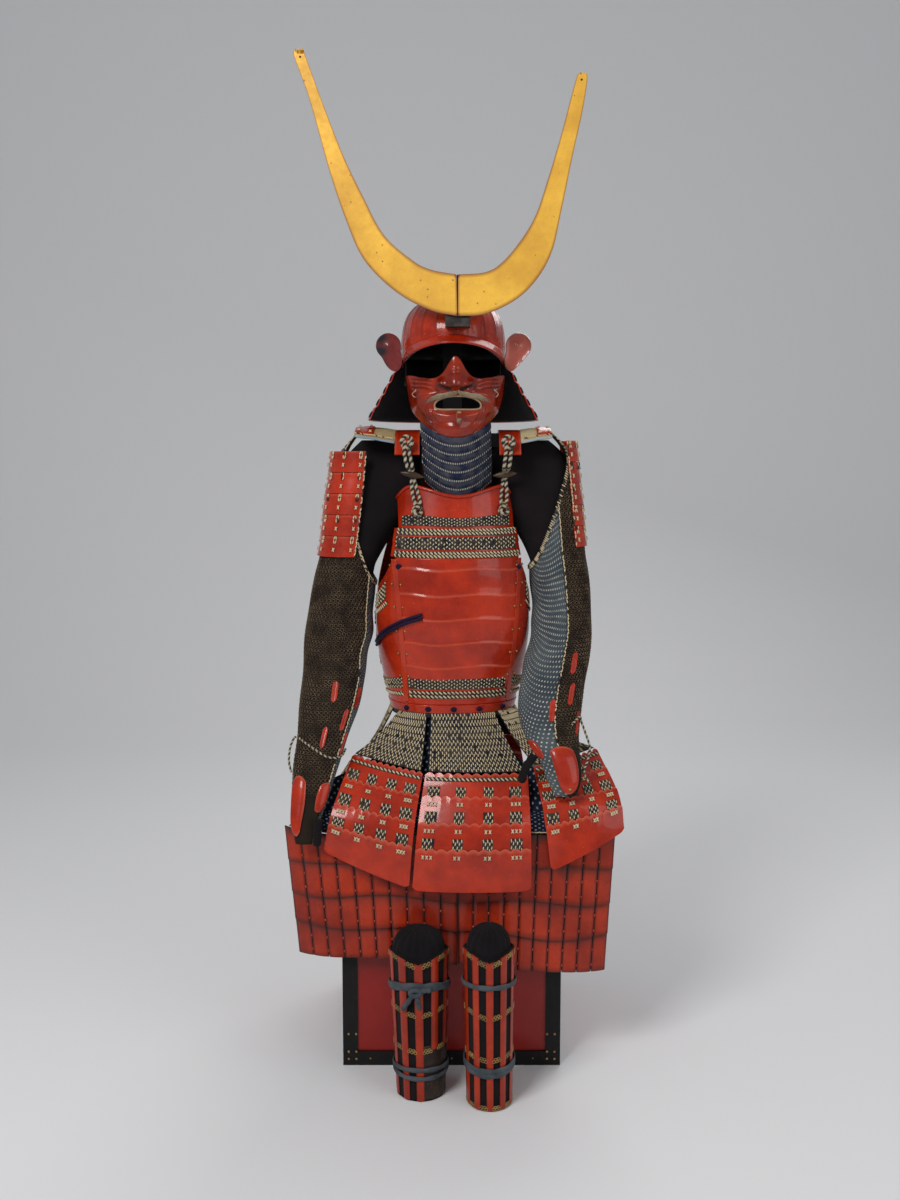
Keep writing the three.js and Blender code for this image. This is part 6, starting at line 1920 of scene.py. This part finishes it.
@dataclass
class Arm(Assembly):
    """One arm: its sleeves, its mail, and the plates of shoulder and hand."""

    side: str

    @property
    def way(self) -> int:
        """-1 for the left of the picture, 1 for the right."""
        return -1 if self.side == "left" else 1

    def at(self, turn: float, z: float, out: float) -> Vector:
        """A point on the sleeve's cloth, with the folds of its elbow."""
        elbow = 770 if self.side == "left" else 790
        fold = 3 * bump(z - elbow, 60) * clamp(-sin(turn - 0.5)) * sin((z - elbow) / 13)
        wrinkle = 0.7 * sin(z / 17 + 2.1 * sin(2 * turn)) * clamp((z - 520) / 60)
        return sleeve_point(self.side, turn, z, out + fold + wrinkle)

    def top_of(self, turn: float) -> float:
        """The height of the sleeve's slanting top."""
        low, high = (884, 1170.4) if self.side == "left" else (912, 1169.2)
        return low + (high - low) * clamp((1 + sin(turn)) / 2) ** 1.3

    def cover(self, at: Surface) -> Skin:
        """A surface that lies round the arm."""
        return Skin(at, sleeve_core(self.side))

    def skin(self, start: float, end: float, out: float) -> Skin:
        """The sleeve between two turns in degrees, v 0 at the cuff."""
        foot = SLEEVES[self.side][0][0]

        def at(u: float, v: float) -> Vector:
            turn = radians(lerp(start, end, u))
            return self.at(turn, lerp(foot, self.top_of(turn), v), out)
        return self.cover(at)

    def build(self) -> None:
        """Makes the sleeves, then what they carry."""
        mail = (-52, 190) if self.side == "left" else (8, 200)
        self._upper_sleeve()
        self._cloth(mail)
        self._rings(mail)
        self._splints()
        self._shoulder_guard()
        self._hand()

    def _upper_sleeve(self) -> None:
        """Makes the plain sleeve of the coat underneath."""
        def at(u: float, v: float) -> Vector:
            z = lerp(878, 1150, v)
            turn = TAU * (u + 0.25)
            fold = 1.1 * (sin(z / 15 + 3 * sin(turn)) - 1)
            spot = sleeve_point(self.side, turn, z, fold - 5.1 - 0.085 * max(0, z - 1000))
            toward = max(0.0, -sin(turn)) ** 0.7 * clamp((z - 912) / 140) ** 1.3
            spot.x = lerp(spot.x, self.way * (56 if self.side == "left" else 76), toward)
            return Vector((spot.x, spot.y, min(z, arch(spot.y) - 9)))
        (Piece(f"coat_sleeve_{self.side}").patch(self.cover(at), 48, 36, wrap=True)
         .finish(self.finishes.arm_cloth, [f"upper_sleeve_{self.side}"], "dark_cloth", wall=1.8))

    def _cloth(self, mail: tuple[float, float]) -> None:
        """Makes the sleeve: dark under the mail, stitched blue on its inner side."""
        start, end = mail
        (Piece(f"mail_ground_{self.side}").patch(self.skin(start, end, -0.2), 36, 84, lambda u, v: 0.25)
         .finish(self.finishes.mail_ground, [f"sleeve_{self.side}", f"forearm_{self.side}"], "mail_cloth", wall=1.6))
        (Piece(f"stitched_sleeve_{self.side}").patch(self.skin(end, start + 360, -0.1), 28, 84, lambda u, v: 0.15)
         .finish(self.finishes.stitched, slot="blue_cloth", wall=1.6))
        edge = Piece(f"sleeve_edge_{self.side}")
        whole = self.skin(-170, 190, 0.6)
        self.lacing.row(edge, whole, 0.995, (0.0, 1.0), 3.2, Slant.ROPE, 1.1)
        self.lacing.row(edge, whole, 0.985, (0.0, 1.0), 3.2, Slant.ROPE, 1.0)
        seam = self.skin(start - 1.5, start + 1.5, 0.4)
        self.lacing.column(edge, seam, 0.5, 0.03, 0.99, 1)
        edge.finish(self.finishes.braid, slot="braid")

    def _rings(self, mail: tuple[float, float]) -> None:
        """Lays the rings of the mail."""
        skin = self.skin(*mail, 0.5)
        rings = Piece(f"mail_rings_{self.side}")
        foot = SLEEVES[self.side][0][0]
        z, row = foot + 84, 0
        while z < MAIL_TOP:
            spots = []
            half = read(SLEEVES[self.side], 3, z)
            count = max(4, round(radians(mail[1] - mail[0]) * half / MAIL_STEP))
            for k in range(count):
                u = (k + 0.25 + 0.5 * (row % 2)) / count
                turn = radians(lerp(*mail, u))
                v = (z - foot) / (self.top_of(turn) - foot)
                if u < 1 and v < 0.98:
                    spots.append(skin.seat(u, v, 25 if k % 2 else -25, 0.5))
            rings.stamp(self.lacing.stamps.ring, spots)
            z += MAIL_ROW
            row += 1
        rings.finish(self.finishes.mail, slot="mail_cloth")

    def _splints(self) -> None:
        """Makes the red bars set in the mail."""
        bars = {"left": ((-62, 675), (-8, 690), (-38, 640), (-4, 612), (-58, 598)),
                "right": ((28, 742), (34, 690), (2, 664), (62, 640))}[self.side]
        piece = Piece(f"sleeve_splints_{self.side}")
        for turn, z in bars:
            def at(u: float, v: float, turn: float = turn, z: float = z) -> Vector:
                round_end = 0.1 * (1 - (2 * v - 1) ** 8)
                angle = radians(turn) + (2 * u - 1) * (0.005 + 0.85 * round_end)
                groove = 0.8 * bump(2 * u - 1, 0.25)
                return sleeve_point(self.side, angle, z + (v - 0.5) * 37, 2.9 - groove)
            piece.patch(self.cover(at), 8, 14, lambda u, v: 0.35 * bump(2 * u - 1, 0.3))
        piece.finish(self.finishes.splint, slot="lacquer", wall=2.4, bevel=0.4)

    def _shoulder_guard(self) -> None:
        """Makes the five laced lames over the shoulder."""
        start, end, top, bottom = (-12, 128, 1130, 932) if self.side == "left" else (36, 150, 1150, 950)

        def shell(u: float, v: float, out: float) -> Vector:
            z = lerp(bottom, top, v)
            level = min(z, 1080)
            spot = sleeve_point(self.side, radians(lerp(start, end, u)), level, out)
            return spot + Vector((-self.way * 0.1 * (z - level), 0, z - level))

        plates = Piece(f"shoulder_plates_{self.side}")
        braid = Piece(f"shoulder_braid_{self.side}")
        for row in range(5):
            def lame(u: float, v: float, row: int = row, lift: float = 0.0) -> Vector:
                return shell(u, (row + v * 0.98) / 5, 3.7 + 2.8 * (0.2 + 0.8 * (1 - v)) + lift)
            skin = self.cover(lame)
            plates.patch(skin, 36, 7, lambda u, v: 0.45 * bump(v - 1, 0.05) + 0.3 * bump(edge_of(u), 0.01))
            face = self.cover(lambda u, v, lame=lame: lame(u, v, lift=0.3))
            for u in (0.06, 0.28, 0.5, 0.72, 0.94):
                self.lacing.column(braid, face, u, 0.62, 1.0, 2)
                self.lacing.cross(braid, face, u, 0.34, 1.15)
        plates.finish(self.finishes.red, [f"shoulder_guard_{self.side}"], "lacquer", wall=2.0, bevel=0.5)
        rim = self.cover(lambda u, v: shell(lerp(-0.012, 0.012, u), v, 5.2))
        self.lacing.column(braid, rim, 0.5, 0.01, 0.99, 1)
        braid.finish(self.finishes.braid, slot="braid")

    def _hand(self) -> None:
        """Makes the domed plates on the hand and thumb, and the wrapped thumb."""
        hand = (12, 66, 446, 548) if self.side == "left" else (-22, 48, 524, 606)
        thumb = (-58, -18, 486, 536) if self.side == "left" else (-68, -36, 584, 614)
        for word, form, dome in (("hand", hand, 5.0), ("thumb", thumb, 3.0)):
            def at(u: float, v: float, form: Sequence[float] = form, dome: float = dome) -> Vector:
                start, end, low, high = form
                across, up = 2 * u - 1, 2 * v - 1
                z = lerp(low, high, 0.5 + up * 0.5 * sqrt(1 - 0.35 * across * across))
                turn = lerp(start, end, 0.5 + across * 0.5 * sqrt(1 - 0.35 * up * up))
                lift = dome * (1 - across ** 4) ** 0.7 * (1 - up ** 4) ** 0.7
                return sleeve_point(self.side, radians(turn), z, 3.4 + lift)
            plate = Piece(f"{word}_shell_{self.side}")
            plate.patch(self.cover(at), 22, 22, lambda u, v: 0.8 * bump(min(u, 1 - u, v, 1 - v), 0.03))
            plate.finish(self.finishes.red, [f"{word}_plate_{self.side}"], "lacquer", wall=1.8, bevel=0.4)
            if word == "hand" and self.side == "right":
                knob = Piece("hand_knob_right")
                seat = self.cover(at).seat(0.5, 0.12, size=(1.3, 1.3, 1.5))
                knob.stamp(self.lacing.stamps.rivet, [seat])
                knob.finish(self.finishes.brass, slot="iron")
        turn, z, drop, reach, off = (-38, 476, 50, -3, 9.3) if self.side == "left" else (-76, 588, 52, 30, 4.6)
        base = sleeve_point(self.side, radians(turn), z, off)
        line = smooth_route([base, base + Vector((-self.way * reach * 0.55, -5, -0.45 * drop)),
                             base + Vector((-self.way * reach * 0.8, -9, -0.95 * drop))], 40)
        stall = Piece(f"thumb_wrap_{self.side}")
        stall.cord(line, 8.3, 18, taper=lambda v: (0.93 + 0.07 * sin(v * 40))
                   * (1 - 0.75 * clamp((v - 0.9) / 0.1) ** 2))
        stall.finish(self.finishes.dark_cloth, [f"thumb_stall_{self.side}"], "dark_cloth")


SHIN_REACH = radians(118)
SHIN_SPLINTS = 7


@dataclass
class Shin(Assembly):
    """One shin guard of red splints on black cloth, round a gathered pad."""

    side: str

    def form(self) -> Sequence[float]:
        """The shin's x, y, half widths, depths, top and lean."""
        return (-54, -292, 42, 51, 44, 50, 268, 8) if self.side == "left" else (66, -326, 38, 43, 44, 48, 284, 4)

    def at(self, turn: float, z: float, out: float) -> Vector:
        """A point round the shin."""
        x, y, half_low, half_high, deep_low, deep_high, top, lean = self.form()
        share = clamp(z / top)
        return Vector((x + (lerp(half_low, half_high, share) + out) * sin(turn) - lean * share * 0.5,
                       y - (lerp(deep_low, deep_high, share) + out) * cos(turn), z))

    def core(self, point: Vector) -> Vector:
        """The shin's middle at a point's height."""
        return Vector((self.form()[0], self.form()[1], point.z))

    def top_of(self, u: float) -> float:
        """The height of the guard's top edge."""
        s = abs(2 * u - 1)
        return self.form()[6] - 16 * max(0.0, 1 - s / 0.45) - 8 * s ** 3

    def build(self) -> None:
        """Makes the cloth, the splints, the rings, the ties and the pad."""
        skin = Skin(lambda u, v: self.at(lerp(-SHIN_REACH, SHIN_REACH, u), lerp(0.3, self.top_of(u), v), -0.4),
                    self.core)
        cloth = Piece(f"shin_cloth_{self.side}")
        cloth.patch(skin, 44, 26)
        cloth.finish(self.finishes.dark_cloth, [f"shin_guard_{self.side}"], "dark_cloth", wall=1.8)
        bars = Piece(f"shin_splints_{self.side}")
        for k in range(SHIN_SPLINTS):
            middle = (k + 0.5) / SHIN_SPLINTS

            def bar(u: float, v: float, middle: float = middle) -> Vector:
                place = middle + (u - 0.5) * 0.3 / SHIN_SPLINTS * 1.75
                foot = 0.36 if self.side == "left" and middle > 0.5 else 0.004
                high = self.top_of(place) - 1.5
                return self.at(lerp(-SHIN_REACH, SHIN_REACH, place), lerp(high * foot + 1.0, high, v),
                               1.8 + 0.9 * (1 - (2 * u - 1) ** 2))
            bars.patch(Skin(bar, self.core), 6, 30, lambda u, v: 0.5 * bump(edge_of(u), 0.08))
        bars.finish(self.finishes.rust_red, slot="dark_lacquer", wall=1.8, bevel=0.5)
        self._rings()
        if self.side == "left":
            hide = Piece("shin_hide_left")
            hide.patch(Skin(lambda u, v: self.at(lerp(0.02, SHIN_REACH, u), lerp(4, 100 + 3 * sin(9 * u), v),
                                                 1.3 + 0.5 * sin(14 * u + 5 * v)), self.core), 24, 24)
            hide.finish(self.finishes.hide, slot="dark_cloth", wall=1.4)
        self._ties()
        self._pad()

    def _rings(self) -> None:
        """Lays the rows of brass rings between the splints."""
        rings = Piece(f"shin_rings_{self.side}")
        face = Skin(lambda a, b: self.at(lerp(-SHIN_REACH, SHIN_REACH, a), b * 300, 1.0), self.core)
        for level in (0.02, 0.34, 0.62, 0.97) if self.side == "right" else (0.36, 0.62, 0.97):
            for gap in range(1, SHIN_SPLINTS):
                for k in range(5):
                    u = gap / SHIN_SPLINTS + (k - 2) * 0.0155
                    z = clamp(level * self.top_of(u) + 3.4 * (k % 2) - 1, 5, 400)
                    rings.stamp(self.lacing.stamps.small_ring, [face.seat(u, z / 300, 0, 0.8)])
        rings.finish(self.finishes.brass, slot="iron")

    def _ties(self) -> None:
        """Makes the grey-blue ties round the guard."""
        ties = Piece(f"shin_ties_{self.side}")
        bands = {"left": ((212, 7.5, 10), (60, 4.2, 3), (44, 4.2, -3)),
                 "right": ((224, 4.6, 3), (74, 5.2, -4), (66, 4.6, -6))}[self.side]
        for z, wide, slope in bands:
            def band(u: float, v: float, z: float = z, wide: float = wide, slope: float = slope) -> Vector:
                turn = lerp(-radians(122), radians(122), v)
                angle = TAU * u
                sag = slope * cos(turn * 1.2) - slope
                ripple = 1 + 0.16 * sin(turn * 9 + 2 * angle)
                return self.at(turn, z + sag + wide * sin(angle) * ripple, 4.4 + 1.9 * cos(angle))
            ties.patch(Skin(band, lambda p: self.core(p) + (p - self.core(p)).normalized() * 50), 10, 44,
                       wrap=True, caps=True)
        if self.side == "left":
            base = self.at(-0.1, 204, 6)
            for dx, dz in ((-22, -34), (6, -30), (24, 2)):
                tip = self.at(-0.1 + dx / 50, 204 + dz, 6.5)
                route = smooth_route([base, base.lerp(tip, 0.5) + Vector((0, -3, 2)), tip], 14)
                ties.cord(route, 5.0, 10, 0, (0.2, 0.2), lambda v: 0.75 + 0.25 * sin(v * 9) ** 2)
            knot = [base + Vector((9 * cos(a), -4, 5 * sin(a))) for a in loop_turns(20)]
            ties.cord(knot, 4.4, 9)
        ties.finish(self.finishes.tie, slot="blue_cloth")

    def _pad(self) -> None:
        """Makes the gathered pad."""
        x, y, _, _, _, _, top, lean = self.form()
        levels = ((0, 12, 0.02), (0.04, 12, 0.9), (0.14, 34, 1), (0.5, top - 26, 1), (0.72, top + 4, 0.95),
                  (0.86, top + 22, 0.76), (0.95, top + 32, 0.42), (1, top + 36, 0.02))

        def at(u: float, v: float) -> Vector:
            z, size = read(levels, 1, v), clamp(read(levels, 2, v), 0, 1)
            turn = TAU * u
            gather = clamp((z - top + 14) / 40)
            pleat = 1 - gather * 0.10 * (0.5 + 0.5 * cos(17 * turn + 1.5 * sin(3 * turn)))
            middle = Vector((x - lean * 0.5, y, z))
            edge = self.at(turn, min(z, top), -3.3)
            spot = middle + (edge - middle) * size * pleat
            return Vector((spot.x, spot.y, z - 3 * gather * (0.5 + 0.5 * cos(17 * turn)) * size))
        pad = Piece(f"gathered_pad_{self.side}")
        pad.patch(Skin(at, lambda p: Vector((x, y, clamp(p.z, 30, top - 10)))), 112, 44, wrap=True, caps=True)
        made = pad.finish(self.finishes.dark_cloth, [f"shin_pad_{self.side}"], "dark_cloth")


BOX_FACE = -200.4


class StorageBox(Assembly):
    """The nails of the box under it all."""

    def build(self) -> None:
        """Sets the nails on the box's frame."""
        nails = Piece("box_nails")
        corners = [(x, z, 1.1, 0.7) for x in (-190, -176, 176, 190) for z in (12, 26, 60, 380, 414, 428)]
        foot = [(x, 13, 0.8, 0.5) for x in range(-150, 151, 50)]
        for turn in range(4):
            face = Matrix.Rotation(turn * pi / 2, 4, "Z")
            for x, z, wide, high in corners + foot:
                seat = face @ Matrix.Translation((x, BOX_FACE, z)) @ Matrix.Rotation(pi / 2, 4, "X")
                nails.stamp(self.lacing.stamps.rivet, [seat @ Matrix.Diagonal((wide, wide, high, 1))])
        nails.finish(self.finishes.brass, slot="iron")


CAD_FINISHES = {
    "box_red": ("box_case",),
    "black": ("box_frame", "box_lid", "stand_post"),
    "iron": ("crest_holder",),
}


class CarriedOver:
    """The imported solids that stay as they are, with a better finish."""

    def dress(self, finishes: Finishes) -> None:
        """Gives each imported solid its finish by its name."""
        for name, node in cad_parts.items():
            choice = next((key for key, names in CAD_FINISHES.items() if name in names), "black")
            node.data.materials.clear()
            node.data.materials.append(getattr(finishes, choice))


def main() -> None:
    """Builds the studio, then the pieces from the trunk outwards."""
    logging.basicConfig(level=logging.INFO, format="%(name)s: %(message)s")
    Studio().build()
    finishes = Finishes()
    lacing = Lacing(Stamps())
    for assembly in (Cords, Cuirass, Skirt, Thighs, Helmet, FaceMask, Shoulders):
        assembly(finishes, lacing).build()
    for side in ("left", "right"):
        Arm(finishes, lacing, side).build()
        Shin(finishes, lacing, side).build()
    StorageBox(finishes, lacing).build()
    CarriedOver().dress(finishes)


if __name__ == "__main__":
    main()
